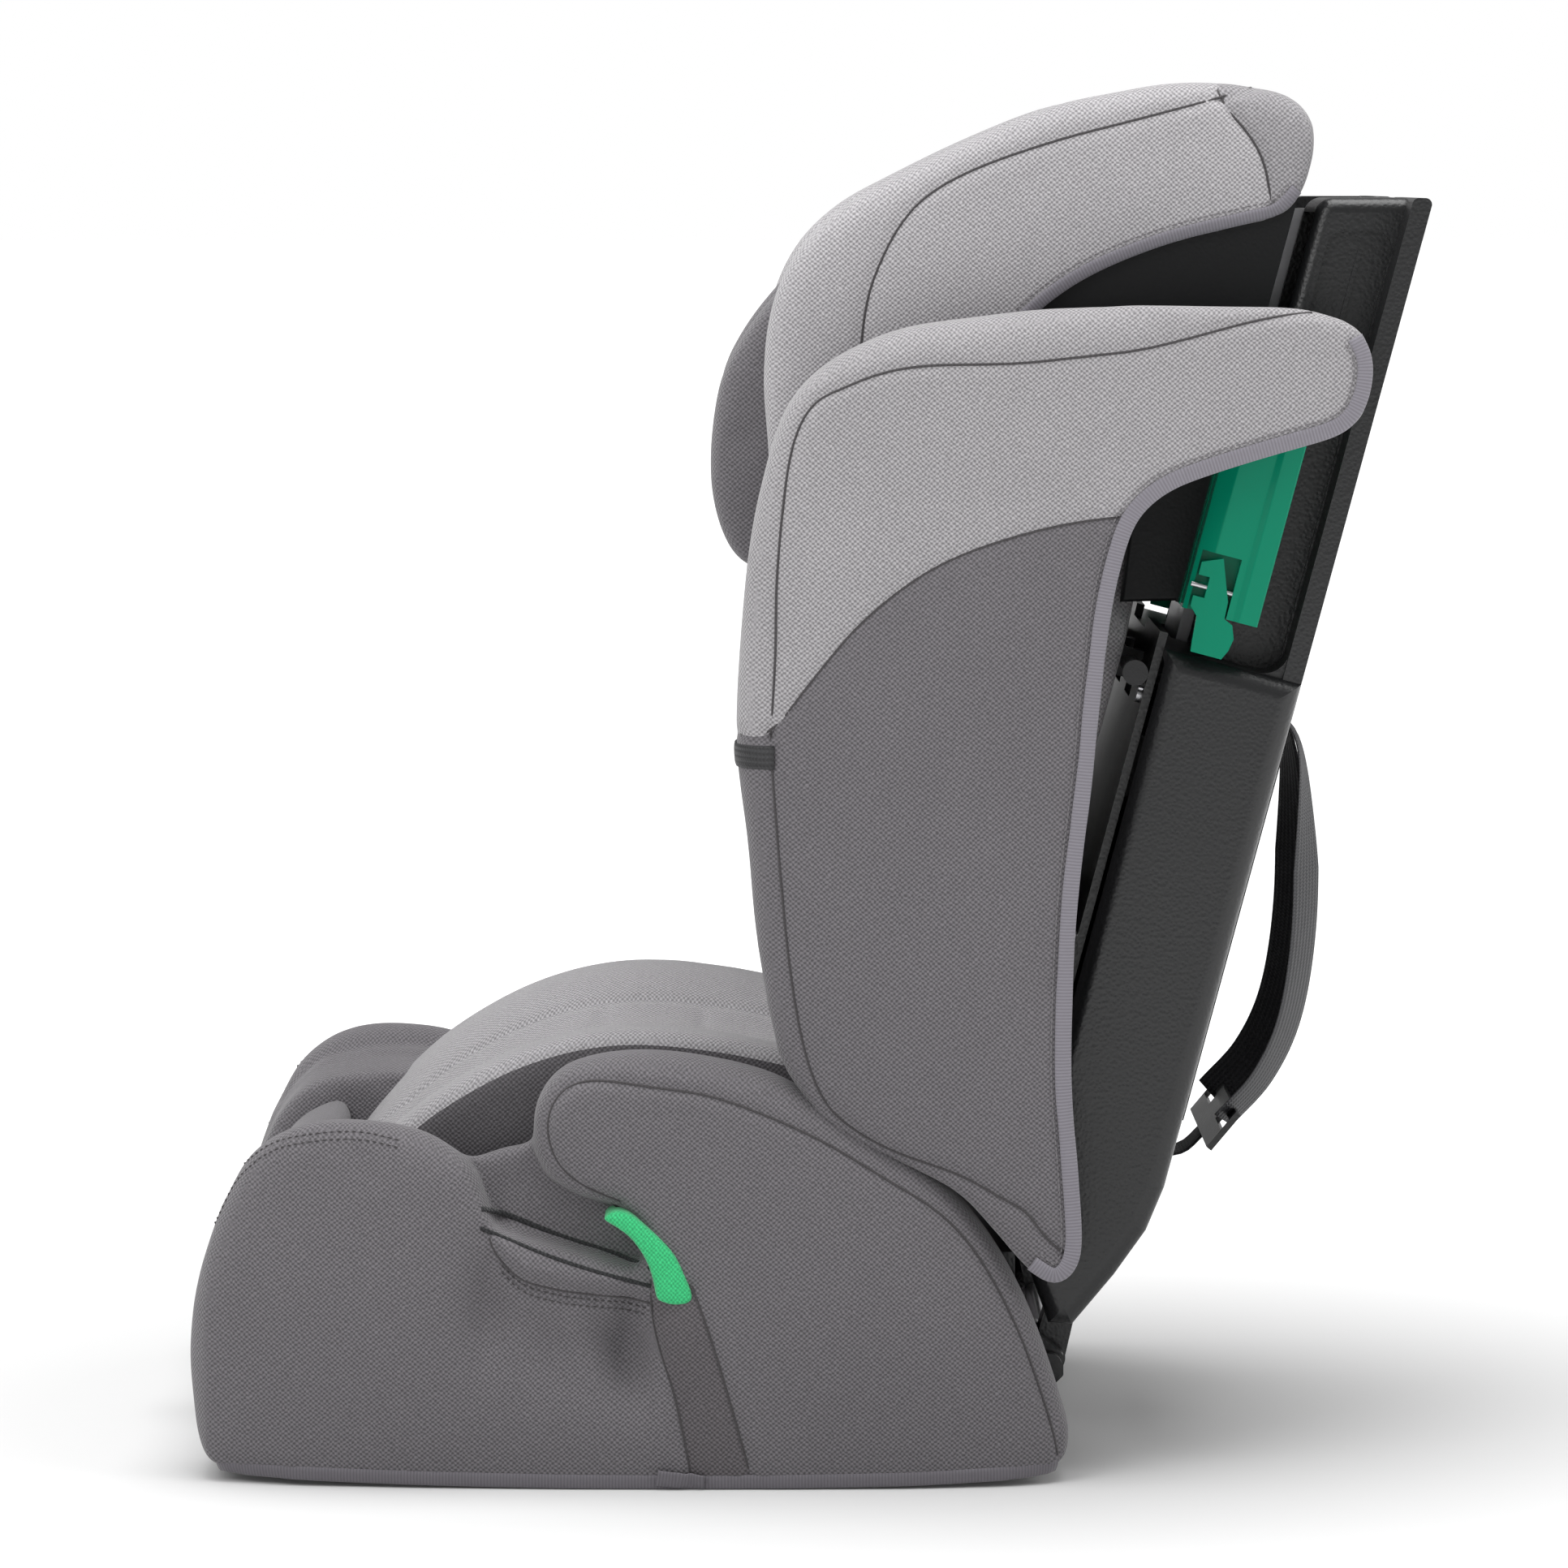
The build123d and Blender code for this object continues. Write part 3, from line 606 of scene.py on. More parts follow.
def ribbon(name, path, facing, width, thickness, material, sides=16, power=2.6):
    """Sweeps a flat rounded section; facing is the thickness direction at each point."""
    path = np.asarray(path, float)
    facing = np.asarray(facing, float)
    count = len(path)
    ahead = np.roll(path, -1, axis=0) - np.roll(path, 1, axis=0)
    ahead[0], ahead[-1] = path[1] - path[0], path[-1] - path[-2]
    ahead /= np.maximum(np.linalg.norm(ahead, axis=1), 1e-9)[:, None]
    facing = facing - ahead * (facing * ahead).sum(1)[:, None]
    facing /= np.maximum(np.linalg.norm(facing, axis=1), 1e-9)[:, None]
    across = np.cross(ahead, facing)
    angle = np.linspace(0, 2 * math.pi, sides, endpoint=False)
    u = np.sign(np.cos(angle)) * np.abs(np.cos(angle)) ** (2 / power) * width / 2
    v = np.sign(np.sin(angle)) * np.abs(np.sin(angle)) ** (2 / power) * thickness / 2
    run = np.r_[0, np.cumsum(np.linalg.norm(np.diff(path, axis=0), axis=1))]
    verts = (path[:, None] + across[:, None] * u[None, :, None] + facing[:, None] * v[None, :, None])
    verts = verts.reshape(-1, 3)
    faces = []
    for i in range(count - 1):
        for k in range(sides):
            m = (k + 1) % sides
            j = i + 1
            faces.append((i * sides + k, i * sides + m, j * sides + m, j * sides + k))
    faces.append(tuple(range(sides))[::-1])
    faces.append(tuple((count - 1) * sides + k for k in range(sides)))
    piece = add_object(name, verts * MM, faces, material)
    layer = piece.data.uv_layers.new(name="UVMap")
    flat = np.zeros((len(piece.data.loops), 2))
    corner = np.empty(len(piece.data.loops), int)
    piece.data.loops.foreach_get("vertex_index", corner)
    flat[:, 0] = u[corner % sides]
    flat[:, 1] = run[corner // sides]
    layer.data.foreach_set("uv", flat.ravel())
    return piece


def join(name, pieces):
    """Joins several meshes into one piece."""
    bm = bmesh.new()
    materials = []
    for piece in pieces:
        for material in piece.data.materials:
            if material not in materials:
                materials.append(material)
        start = len(bm.faces)
        bm.from_mesh(piece.data)
        bm.faces.ensure_lookup_table()
        for face in bm.faces[start:]:
            face.material_index = materials.index(piece.data.materials[face.material_index])
        old = piece.data
        bpy.data.objects.remove(piece)
        bpy.data.meshes.remove(old)
    mesh = bpy.data.meshes.new(name)
    bm.to_mesh(mesh)
    bm.free()
    for material in materials:
        mesh.materials.append(material)
    out = bpy.data.objects.new(name, mesh)
    into_scene(out)
    return out


def stitches(name, points, out_normals, material, pitch=3.4, length=2.3, radius=0.45):
    """A row of short raised threads along a draped curve."""
    points = relax(np.asarray(points), 2)
    run = np.r_[0, np.cumsum(np.linalg.norm(np.diff(points, axis=0), axis=1))]
    verts, faces = [], []
    sides = 6
    for start in np.arange(0.5, run[-1] - length, pitch):
        ends = []
        for at in (start, start + length * 0.5, start + length):
            spot = np.array([np.interp(at, run, points[:, k]) for k in range(3)])
            up = np.array([np.interp(at, run, out_normals[:, k]) for k in range(3)])
            ends.append((spot, up / np.linalg.norm(up)))
        ahead = ends[2][0] - ends[0][0]
        ahead /= np.linalg.norm(ahead)
        base = len(verts)
        for (spot, up), size, rise in zip(ends, (0.35, 1.0, 0.35), (-0.25, 0.25, -0.25)):
            side = np.cross(ahead, up)
            for k in range(sides):
                a = 2 * math.pi * k / sides
                verts.append(spot + up * rise + radius * size * (side * math.cos(a) + up * math.sin(a)))
        for i in range(2):
            for k in range(sides):
                m = (k + 1) % sides
                faces.append((base + i * sides + k, base + i * sides + m,
                              base + (i + 1) * sides + m, base + (i + 1) * sides + k))
        faces.append(tuple(base + k for k in range(sides))[::-1])
        faces.append(tuple(base + 2 * sides + k for k in range(sides)))
    return add_object(name, np.array(verts) * MM, faces, material)


def seam_line(name, tree, line, material, width=1.2):
    """Painted shade in the ditch of a plain seam: a thin dark cord bedded in the groove."""
    points, out_normals = drape(tree, line, lift=0.1)
    return ribbon(name, relax(points), out_normals, width, 0.9, material, sides=8)


def mirror_piece(piece, name):
    """The same piece on the other side."""
    mesh = piece.data.copy()
    mesh.transform(Matrix.Scale(-1, 4, (1, 0, 0)))
    mesh.flip_normals()
    out = bpy.data.objects.new(name, mesh)
    into_scene(out)
    return out


def place(piece, body, slot, nodes=(), fill=None):
    """Lets a piece ride its body and hides the CAD parts it stands for; body None leaves it unattached."""
    if body:
        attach(piece, body)
    if nodes:
        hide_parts(*nodes)


def place_pair(piece, stem, body, slot, nodes=(), fill=None):
    """Names, mirrors and rides a left piece and its right twin, and hides their CAD parts."""
    piece.name = stem + "_left"
    twin = mirror_piece(piece, stem + "_right")
    for item, side in ((piece, "_left"), (twin, "_right")):
        place(item, body, slot, [node + side for node in nodes], fill)


# ---- base side cover
PLAN = np.array([(-215, 180), (-200, 192), (-160, 203), (-100, 209), (-30, 213), (60, 214),
                 (130, 212), (180, 206), (200, 199), (215, 190)], float)


def plan_half(y):
    return np.interp(y, PLAN[:, 0], PLAN[:, 1])


SIDE = side_outline([
    (-200, 9, 10), (-206, 30, 16), (-209, 58, 20), (-206, 87, 22), (-200, 109, 22),
    (-191, 133, 22), (-180, 154, 20), (-165, 166, 18), (-145, 172, 18), (-121, 172, 20),
    (-97, 167, 20), (-79, 155, 18), (-70, 139, 15), (-66, 124, 9), (-60, 119, 6),
    (-37, 114, 6), (-14, 108, 6), (3, 104, 4), (8, 110, 5), (7, 119, 6), (0, 129, 8),
    (-13, 134, 12), (-30, 139, 16), (-42, 150, 18), (-46, 166, 18), (-44, 181, 18),
    (-35, 194, 18), (-20, 201, 18), (5, 204, 18), (35, 201, 18), (66, 193, 18),
    (92, 178, 16), (120, 159, 14), (142, 145, 14), (157, 130, 14), (172, 109, 14),
    (184, 86, 14), (193, 63, 14), (201, 38, 12), (205, 20, 8), (196, 7, 5),
    (150, 3, 4), (80, 1, 4), (0, 0.5, 4), (-80, 1, 4), (-150, 4, 4), (-185, 6, 6)])

HORN_IN = 124.0
SIDE_IN = 169.0
LINING = side_outline([
    (-84, 146), (-84, 100), (-50, 98), (16, 90), (20, 118), (8, 140), (-20, 148), (-44, 158)])
LINING_OUT = 193.0          # recessed face inside the belt slot
HORN_BLOCK = side_outline([
    (-199, 10), (-207, 50), (-204, 92), (-189, 130), (-176, 151), (-160, 162), (-122, 165), (-98, 160),
    (-81, 149), (-72, 120), (-70, 60), (-72, 6), (-150, 6)])


LIP_SEAM = curve([(-67, 121), (-63, 110), (-52, 99), (-37, 94.5), (-22, 92), (-7, 90), (9, 87)], 2.0)
FOLD_LINE = curve([(-70, 131), (-55, 125), (-37, 118), (-15, 111), (9, 104)], 2.0)


def side_form(co):
    """Plan taper, rolled lip of the belt slot, the hollow under it and its puckers."""
    half = plan_half(co[:, 1])
    share = np.clip((co[:, 0] - HORN_IN) / (COVER_HALF + 3 - HORN_IN), 0, 1.05)
    co[:, 0] -= share * (COVER_HALF + 1 - half)
    outer = np.clip((co[:, 0] - 185) / 12, 0, 1)
    horn_top = np.clip((co[:, 2] - 128) / 34, 0, 1) * np.clip((-60 - co[:, 1]) / 20, 0, 1)
    co[:, 2] -= 11 * horn_top * np.clip((196 - co[:, 0]) / 66, 0, 1)
    y, z = co[:, 1], co[:, 2]
    seam_z = np.interp(y, LIP_SEAM[:, 0], LIP_SEAM[:, 1])
    in_slot = np.exp(-((y + 28) / 38) ** 6)
    lip = 3.2 * bump(z, seam_z + 8, 6) * in_slot
    groove = 2.6 * bump(z, seam_z - 1, 4) * in_slot
    hollow = 7.5 * bump(z, seam_z - 26, 20) * np.exp(-((y + 22) / 34) ** 4)
    tuck = 12.5 * bump(y, 0, 11) * bump(z, 69, 25)
    flute = 2.2 * bump(y + 0.35 * (z - 84), -16, 6) * bump(z, 76, 15) \
        - 2.0 * bump(y + 0.35 * (z - 84), -32, 8) * bump(z, 72, 18)
    corner = 10.0 * bump(y, -67, 11) * bump(z, 82, 26)
    swell = 4.0 * bump(y, -112, 50) * bump(z, 84, 48) + 2.5 * bump(y, 105, 60) * bump(z, 90, 50)
    gore = 2.0 * bump(y, 20, 12) * bump(z, 70, 20) - 2.2 * bump(y, 18, 12) * bump(z, 98, 14)
    co[:, 0] += outer * (swell + lip + gore - groove - hollow - tuck - flute - corner)
    return co


ARM_SEAM = curve([(-5, 135), (-20, 141), (-33, 151), (-39, 166), (-37, 180), (-29, 189), (-16, 192),
                  (9, 189), (36, 185), (62, 176), (90, 163), (118, 146), (139, 133), (154, 119),
                  (167, 100), (180, 74), (189, 50), (196, 28), (199, 14)], 3.0)
GORE_FRONT = curve([(9, 98), (9, 88), (10.5, 76), (14, 63), (20, 45), (26, 16), (28, 5)], 3.0)
GORE_REAR = curve([(28, 96), (33, 83), (39, 65), (46, 41), (54, 12), (56, 4)], 3.0)
side_seams = [ARM_SEAM, GORE_FRONT, GORE_REAR]
side_cover = pad("side_cover", SIDE, [(SIDE, SIDE_IN, COVER_HALF), (HORN_BLOCK, HORN_IN, COVER_HALF),
                                      (LINING, SIDE_IN, LINING_OUT)],
                 fabric_side, side_seams, side_form, crown=2.5, cap=4.0)
co = coordinates(side_cover.data)
front_y = np.interp(co[:, 2], GORE_FRONT[::-1, 1], GORE_FRONT[::-1, 0])
back_y = np.interp(co[:, 2], GORE_REAR[::-1, 1], GORE_REAR[::-1, 0])
in_gore = np.minimum(co[:, 1] - front_y, back_y - co[:, 1])
store(side_cover, "split", np.where(co[:, 2] < 97, -in_gore, 9.0))
side_tree = surface(side_cover)


def side_details():
    """Seams, stitching and the belt slot's lip seam on one side of the base, with dark strips that paint the
    shade in the slot's fold creases.
    """
    made = [seam_line("seam", side_tree, line, dark_thread_and_seam_shade) for line in side_seams]
    # near-black pad-cloth strips sunk along the fold creases: painted shade in the creases
    for line, width in ((FOLD_LINE, 3.0), (FOLD_LINE - (0, 8.5), 2.4)):
        points, out = drape(side_tree, line, -0.6)
        made.append(ribbon("fold", relax(points, 12), out, width, 2.4, pad_cloth_and_fold_shade, sides=10))
    # the lip seam's dark cord paints the shade in its ditch
    points, out = drape(side_tree, LIP_SEAM, -0.1)
    made.append(ribbon("lip", relax(points), out, 1.4, 0.9, dark_thread_and_seam_shade, sides=8))
    for shift in (0, 3.2):
        line = curve([(-203, 108 - shift), (-194, 127 - shift), (-184, 146 - shift), (-168, 160 - shift),
                      (-148, 165.5 - shift), (-126, 166.5 - shift), (-106, 162.5 - shift)], 2.0)
        points, out = drape(side_tree, line, 0.2)
        made.append(stitches("stitch", points, out, dark_thread_and_seam_shade))
        line = curve([(-61, 105.5 - shift), (-51, 96.5 - shift), (-37, 92 - shift), (-22, 89.5 - shift),
                      (-7, 87.5 - shift), (7, 84.5 - shift)], 2.0)
        points, out = drape(side_tree, line, 0.2)
        made.append(stitches("stitch", points, out, dark_thread_and_seam_shade))
    return join("base_stitching", made)


place_pair(side_details(), "base_stitching", "base", "dark_fabric")
hem_line = curve([(-203, 14), (-196, 8), (-160, 6.5), (-100, 5), (-30, 4), (60, 4), (130, 5),
                  (180, 7), (198, 9)], 4.0)
hem_points, hem_normals = drape(side_tree, hem_line, 0.4)
hem_normals[:, 2] *= 0.3
hem = ribbon("base_hem", relax(hem_points), hem_normals, 7.0, 2.6, hem_tape)
place_pair(hem, "base_hem", "base", "dark_fabric")
overlap_points, overlap_normals = drape(side_tree, curve([(12, 6.5), (20, 5.5), (34, 4.6)], 2.0), 1.7)
overlap = ribbon("hem_overlap", overlap_points, overlap_normals, 8.0, 1.8, hem_tape)
place_pair(overlap, "hem_overlap", "base", "dark_fabric")
place_pair(side_cover, "side_cover", "base", "dark_fabric",
           ("thigh_bolster", "belt_slot_pad", "armrest_pad"), 0.7)

# green lap-belt guide patch, laid round the armrest's nose
PATCH = side_outline([
    (-13, 127.5, 3), (-7, 132, 3), (0, 130, 3), (6, 125, 3), (13.5, 118.5, 3), (20.5, 110.5, 3),
    (25.5, 100, 3), (29, 90.5, 3), (28, 88, 3), (20.5, 87, 3), (12.5, 89, 3), (11.2, 92, 3),
    (9.5, 101, 3), (6, 109.5, 3), (0.5, 117.5, 3), (-6, 123, 3)], 2.0)
patch = pad("lap_guide", PATCH, [(PATCH, 172, 215.8)], fabric_green, crown=0.6, cap=0, voxel=2.5, soften=3)
place_pair(patch, "lap_belt_guide_patch", "base", "green_fabric", ("lap_belt_guide",), 0.9)

# ---- seat cushion
CUSHION = side_outline([
    (-150, 108, 8), (-147, 122, 12), (-129, 146, 16), (-99, 174, 16), (-56, 198, 16), (-10, 209, 16),
    (40, 206, 16), (90, 195, 14), (120, 184, 10), (130, 160, 8), (128, 112, 6), (60, 106, 4),
    (-60, 106, 4)])


def cushion_form(co):
    """Hollowed middle, raised edges and two sewn channels."""
    x, y, z = co.T
    top = np.clip((z - 118) / 40, 0, 1)
    dip = 24 * np.exp(-(x / 95) ** 4) * top
    channel = 2.2 * bump(np.abs(x), 84, 3.2) * top
    ribs = 1.8 * top * (np.abs(x) < 82) * sum(bump(y, c, 3.4) for c in (-70, -20, 30))
    co[:, 2] -= dip + channel + ribs
    return co


cushion = pad("seat_cushion_cover", CUSHION, [(CUSHION, -164, 164)], fabric_cushion, shape=cushion_form,
              crown=1.0, cap=4.0, voxel=5.0)
co = coordinates(cushion.data)
edge_gap, _, _, _ = nearest(co[:, 1:], CUSHION, True)
store(cushion, "split", np.where(np.abs(co[:, 0]) > 120, 7.0 - edge_gap, 7.0))
place(cushion, "base", "light_fabric", ["seat_cushion"], 0.7)

# front panel between the thigh bolsters
FRONT = side_outline([
    (-197, 6, 5), (-202, 40, 8), (-201, 75, 10), (-193, 106, 12), (-176, 131, 12), (-154, 140, 8),
    (-150, 122, 4), (-170, 106, 3), (-186, 96, 3), (-187, 20, 3)])
front = pad("seat_front", FRONT, [(FRONT, -130, 130)], fabric_dark, crown=0.5, cap=3.0)
place(front, "base", "dark_fabric", ["seat_front_panel"], 0.6)
rear_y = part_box("base_rear_trim")[1][1] / MM
rear_path = [(x, rear_y - 3, 46) for x in np.linspace(-82, 82, 30)]
rear_trim = ribbon("base_rear_panel", rear_path, [(0, 1, 0)] * 30, 74, 6, fabric_dark, sides=24)
place(rear_trim, "base", "dark_fabric", ["base_rear_trim"], 0.9)

# ---- backrest wings
WING = [(14, 507, 8), (3, 514, 9), (-20, 515, 9), (-59, 506, 14), (-95, 497, 18), (-131, 486, 20),
        (-165, 472, 20), (-193, 460, 20), (-213, 446, 20), (-229, 429, 20), (-238, 410, 20),
        (-241, 380, 20), (-238, 335, 20), (-232, 303, 20), (-222, 257, 20), (-203, 206, 20),
        (-187, 163, 20), (-173, 131, 20), (-163, 114, 18), (-150, 102, 16), (-138, 93, 14), (-116, 86, 12),
        (-92, 82, 10), (-67, 76, 8), (-44, 62, 6), (-27, 51, 5), (-14, 47, 4), (-6, 54, 3), (-5, 68, 3),
        (-16, 102, 3), (-30, 142, 3), (-42, 190, 3), (-50, 230, 3), (-57, 279, 3), (-63, 315, 3),
        (-69, 358, 3), (-70, 385, 3), (-68, 402, 3), (-58, 417, 3), (-42, 429, 3), (-20, 443, 3),
        (0, 455, 3), (12, 463, 4), (20, 474, 6), (20, 491, 7)]
WING_LINE = leaning_outline(WING)
FRONT_BLOCK = leaning_outline([
    (-80, 492), (-95, 493), (-131, 484), (-165, 471), (-193, 459), (-213, 445), (-229, 428),
    (-238, 408), (-240, 380), (-237, 335), (-222, 258), (-203, 208), (-187, 165), (-163, 118),
    (-140, 98), (-112, 90), (-76, 88), (-62, 100), (-60, 200), (-66, 290), (-74, 350), (-76, 400),
    (-74, 440), (-73, 476)])
SPLIT_LINE = curve([(36, 352), (50, 352), (60, 352), (67, 356), (84, 378), (106, 404), (132, 425),
                    (158, 438), (196, 449), (229, 454), (260, 459)], 3.0)
WING_TOP_SEAM = curve([(65, 353), (67, 390), (68, 430), (74, 482), (84, 505), (97, 512), (114, 519),
                       (136, 523), (177, 524), (207, 527), (233, 530), (255, 535), (285, 543),
                       (308, 547), (326, 547)], 3.0)
WING_LOW_SEAM = curve([(65, 353), (66, 330), (70, 280), (74, 242), (80, 208), (88, 185), (99, 172),
                       (121, 159), (152, 148), (172, 137), (185, 130), (190, 121), (201, 111)], 3.0)
wing_seams = [SPLIT_LINE, WING_TOP_SEAM, WING_LOW_SEAM]


def wing_form(co):
    """Soft swell of the side panel, flatter towards the bound edge."""
    outer = np.clip((co[:, 0] - 190) / 12, 0, 1)
    y, z = co[:, 1], co[:, 2]
    swell = 3.0 * bump(y, 130, 60) * bump(z, 330, 150)
    hollow = 2.5 * bump(y, 180, 30) * bump(z, 455, 26)
    co[:, 0] += outer * (swell - hollow)
    return co


wing = pad("wing", WING_LINE, [(WING_LINE, 197, WING_HALF - 1), (FRONT_BLOCK, 151, WING_HALF - 1)],
           fabric_split, wing_seams, wing_form, crown=2.0, cap=4.0)
wing_tree = surface(wing)
co = coordinates(wing.data)
gap, sign, _, _ = nearest(co[:, 1:], SPLIT_LINE, False)
store(wing, "split", gap * sign)

# bound rear edge, with its row of stitches
EDGE = [(9, 510.5), (16, 503), (19.5, 492), (20, 480), (17.5, 470), (11, 462), (0, 455), (-20, 443),
        (-42, 429), (-58, 417), (-68, 402),
        (-70, 385), (-69, 358), (-63, 315), (-57, 279), (-50, 230), (-42, 190), (-30, 142), (-16, 102),
        (-5, 68), (-6, 54), (-14, 47), (-27, 51)]


def bound_edge(tree, local, inset, width, name):
    """Tape folded over a cover's edge, and the stitching beside it."""
    line = curve(seat_frame(np.array(local, float)), 3.0)
    ahead = np.gradient(line, axis=0)
    ahead /= np.linalg.norm(ahead, axis=1)[:, None]
    side = np.column_stack([ahead[:, 1], -ahead[:, 0]])
    points, out = drape(tree, line + side * inset, 0.5)
    taped = ribbon(name, relax(points), relax(out), width, 3.0, tape, sides=20, power=2.2)
    points, out = drape(tree, line + side * (inset + width / 2 + 1.4), 0.2)
    return join(name, [taped, stitches("stitch", points, out, thread_grey, pitch=3.0)])


wing_edge = bound_edge(wing_tree, EDGE, 4.2, 8.0, "wing_binding")
place_pair(wing_edge, "wing_binding", "backrest", "light_fabric")
wing_lines = join("wing_seams", [seam_line("seam", wing_tree, line, dark_thread_and_seam_shade) for line in wing_seams])
place_pair(wing_lines, "wing_seams", "backrest", "dark_fabric")

# elastic bands round the wings' front edge
band_low, band_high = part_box("wing_elastic_left")
band_z = (band_low[2] + band_high[2]) / 2 / MM
band_points, band_normals = [], []
for angle in np.linspace(0.12, math.pi - 0.12, 30):
    centre = Vector((0.182, band_high[1] + 0.004, band_z * MM))
    origin = centre + Vector((0.1 * math.cos(angle), -0.1 * math.sin(angle), 0))
    hit, normal, _, _ = wing_tree.ray_cast(origin, centre - origin)
    if hit is not None:
        band_points.append(np.array(hit) / MM)
        band_normals.append(np.array(normal))
band = ribbon("wing_elastic_band", relax(np.array(band_points), 2) + np.array(band_normals) * 0.4,
              band_normals, 11.0, 2.2, elastic)
place_pair(band, "wing_elastic_band", "backrest", "webbing", ("wing_elastic",))
place_pair(wing, "wing_cover", "backrest", "light_fabric", ("backrest_wing",), 0.75)

# ---- back cushion
BACK_PAD = leaning_outline([
    (-94, 112, 12), (-95, 180, 14), (-95, 260, 14), (-94, 340, 14), (-90, 378, 12), (-76, 386, 10),
    (-60, 384, 8), (-55, 370, 5), (-55, 240, 5), (-55, 112, 5), (-66, 100, 8), (-84, 101, 10)])


def back_pad_form(co):
    """Narrow top, raised sides and sewn channels across the front."""
    local_y, local_z = back_frame(co)
    face = np.clip((-local_y - 70) / 20, 0, 1)
    narrow = 1 - 0.12 * np.clip((local_z - 344) / 16, 0, 1)
    co[:, 0] *= narrow
    groove = 2.4 * face * (sum(bump(local_z, c, 3.4) for c in (160, 215, 270))
                           * (np.abs(co[:, 0]) < 92) + bump(np.abs(co[:, 0]), 94, 3.2))
    hollow = 8 * face * np.exp(-(co[:, 0] / 80) ** 4)
    return push_rearward(co, groove + hollow)


back_pad = pad("back_cushion_cover", BACK_PAD, [(BACK_PAD, -146, 146)], fabric_light, shape=back_pad_form,
               crown=0.5, cap=4.0, voxel=5.0)
place(back_pad, "backrest", "light_fabric", ["back_cushion"], 0.7)

# ---- headrest
HEAD = [(-30, 566, 5), (-29, 585, 8), (-34, 601, 12), (-48, 609, 15), (-72, 608, 15), (-101, 601, 15),
        (-128, 589, 15), (-153, 576, 15), (-185, 552, 15), (-214, 527, 15), (-236, 506, 15), (-250, 484, 15),
        (-256, 462, 15), (-256, 440, 15), (-251, 415, 14), (-243, 392, 13), (-232, 362, 12), (-218, 344, 10),
        (-204, 346, 6), (-188, 378, 4), (-168, 418, 3), (-148, 458, 3), (-134, 482, 3), (-120, 499, 3),
        (-104, 513, 3), (-81, 529, 3), (-50, 546, 3), (-36, 554, 3)]
HEAD_LINE = leaning_outline(HEAD)
HEAD_SEAM = curve([(104, 470), (106, 500), (107, 529), (110, 552), (115, 567), (124, 585), (137, 600),
                   (160, 613), (197, 626), (235, 636), (273, 646), (296, 653)], 3.0)
HEAD_REAR_SEAM = curve([(274, 650), (278, 641), (288, 630), (296, 615), (300, 590)], 3.0)
head_seams = [HEAD_SEAM, HEAD_REAR_SEAM]
head_wing = pad("headrest_side", HEAD_LINE, [(HEAD_LINE, 113, 146)], fabric_wrap_painted_bright, head_seams,
                crown=2.0, cap=4.0)
head_tree = surface(head_wing)
co = coordinates(head_wing.data)
rear_y = np.interp(-co[:, 2], -HEAD_REAR_SEAM[:, 1], HEAD_REAR_SEAM[:, 0])
store(head_wing, "split", rear_y - co[:, 1])
HEAD_EDGE = [(-30, 566), (-36, 554), (-50, 546), (-81, 529), (-104, 513), (-120, 499), (-134, 482),
             (-148, 458), (-168, 418), (-188, 378), (-200, 352)]
head_edge = bound_edge(head_tree, HEAD_EDGE, 3.6, 6.5, "headrest_binding")
place_pair(head_edge, "headrest_binding", "headrest", "light_fabric")
head_lines = join("headrest_seams", [seam_line("seam", head_tree, line, dark_thread_and_seam_shade) for line in head_seams])
place_pair(head_lines, "headrest_seams", "headrest", "light_fabric")
place_pair(head_wing, "headrest_side", "headrest", "light_fabric", ("headrest_wing",), 0.75)

BOLSTER = leaning_outline([
    (-84, 556, 12), (-140, 566, 13), (-190, 540, 13), (-232, 500, 13), (-257, 456, 14),
    (-268, 428, 14), (-271, 405, 14), (-266, 372, 14), (-256, 347, 14), (-240, 330, 13),
    (-218, 330, 12), (-190, 350, 12), (-150, 384, 12), (-112, 404, 12), (-84, 430, 12)])
bolster = pad("bolster", BOLSTER, [(BOLSTER, 82, 113)], fabric_dark, crown=1.5, cap=5.0)
place_pair(bolster, "headrest_cheek", "headrest", "dark_fabric", ("headrest_bolster",), 0.8)

HEAD_PAD = leaning_outline([
    (-84, 410, 14), (-85, 480, 14), (-85, 560, 14), (-80, 596, 16), (-62, 607, 14), (-42, 606, 10),
    (-31, 594, 8), (-30, 566, 4), (-38, 552, 3), (-42, 480, 4), (-42, 410, 5), (-54, 393, 10),
    (-72, 394, 12)])


def head_pad_form(co):
    """Hollow for the head and two sewn lines."""
    local_y, local_z = back_frame(co)
    face = np.clip((-local_y - 60) / 20, 0, 1)
    move = face * (7 * np.exp(-(co[:, 0] / 62) ** 4) + 2.2 * bump(np.abs(co[:, 0]), 56, 3.0)
                   + 2.2 * bump(local_z, 470, 3.2) * (np.abs(co[:, 0]) < 55))
    return push_rearward(co, move)


head_pad = pad("headrest_pad_cover", HEAD_PAD, [(HEAD_PAD, -114, 114)], fabric_head_painted_bright, shape=head_pad_form,
               crown=0.5, cap=4.0)
place(head_pad, "headrest", "light_fabric", ["headrest_pad"], 0.7)

# ---- harness
def lean_path(points, x):
    line = curve(seat_frame(np.array(points, float)), 4.0)
    return np.column_stack([np.full(len(line), x), line])


def across_path(path):
    """Thickness direction of a strap that runs in a side plane."""
    ahead = np.gradient(path, axis=0)
    return np.cross(ahead, np.tile((1.0, 0, 0), (len(path), 1)))


WEB = 38.0
FRONT_RUN = [(-148, 218), (-134, 240), (-104, 292), (-99, 325), (-93, 344), (-74, 346), (-56, 345),
             (-52, 338)]
REAR_RUN = [(-41, 322), (-20, 320), (10, 321), (30, 322), (45, 311), (58, 276), (71, 226), (76, 182),
            (71, 150), (58, 124)]
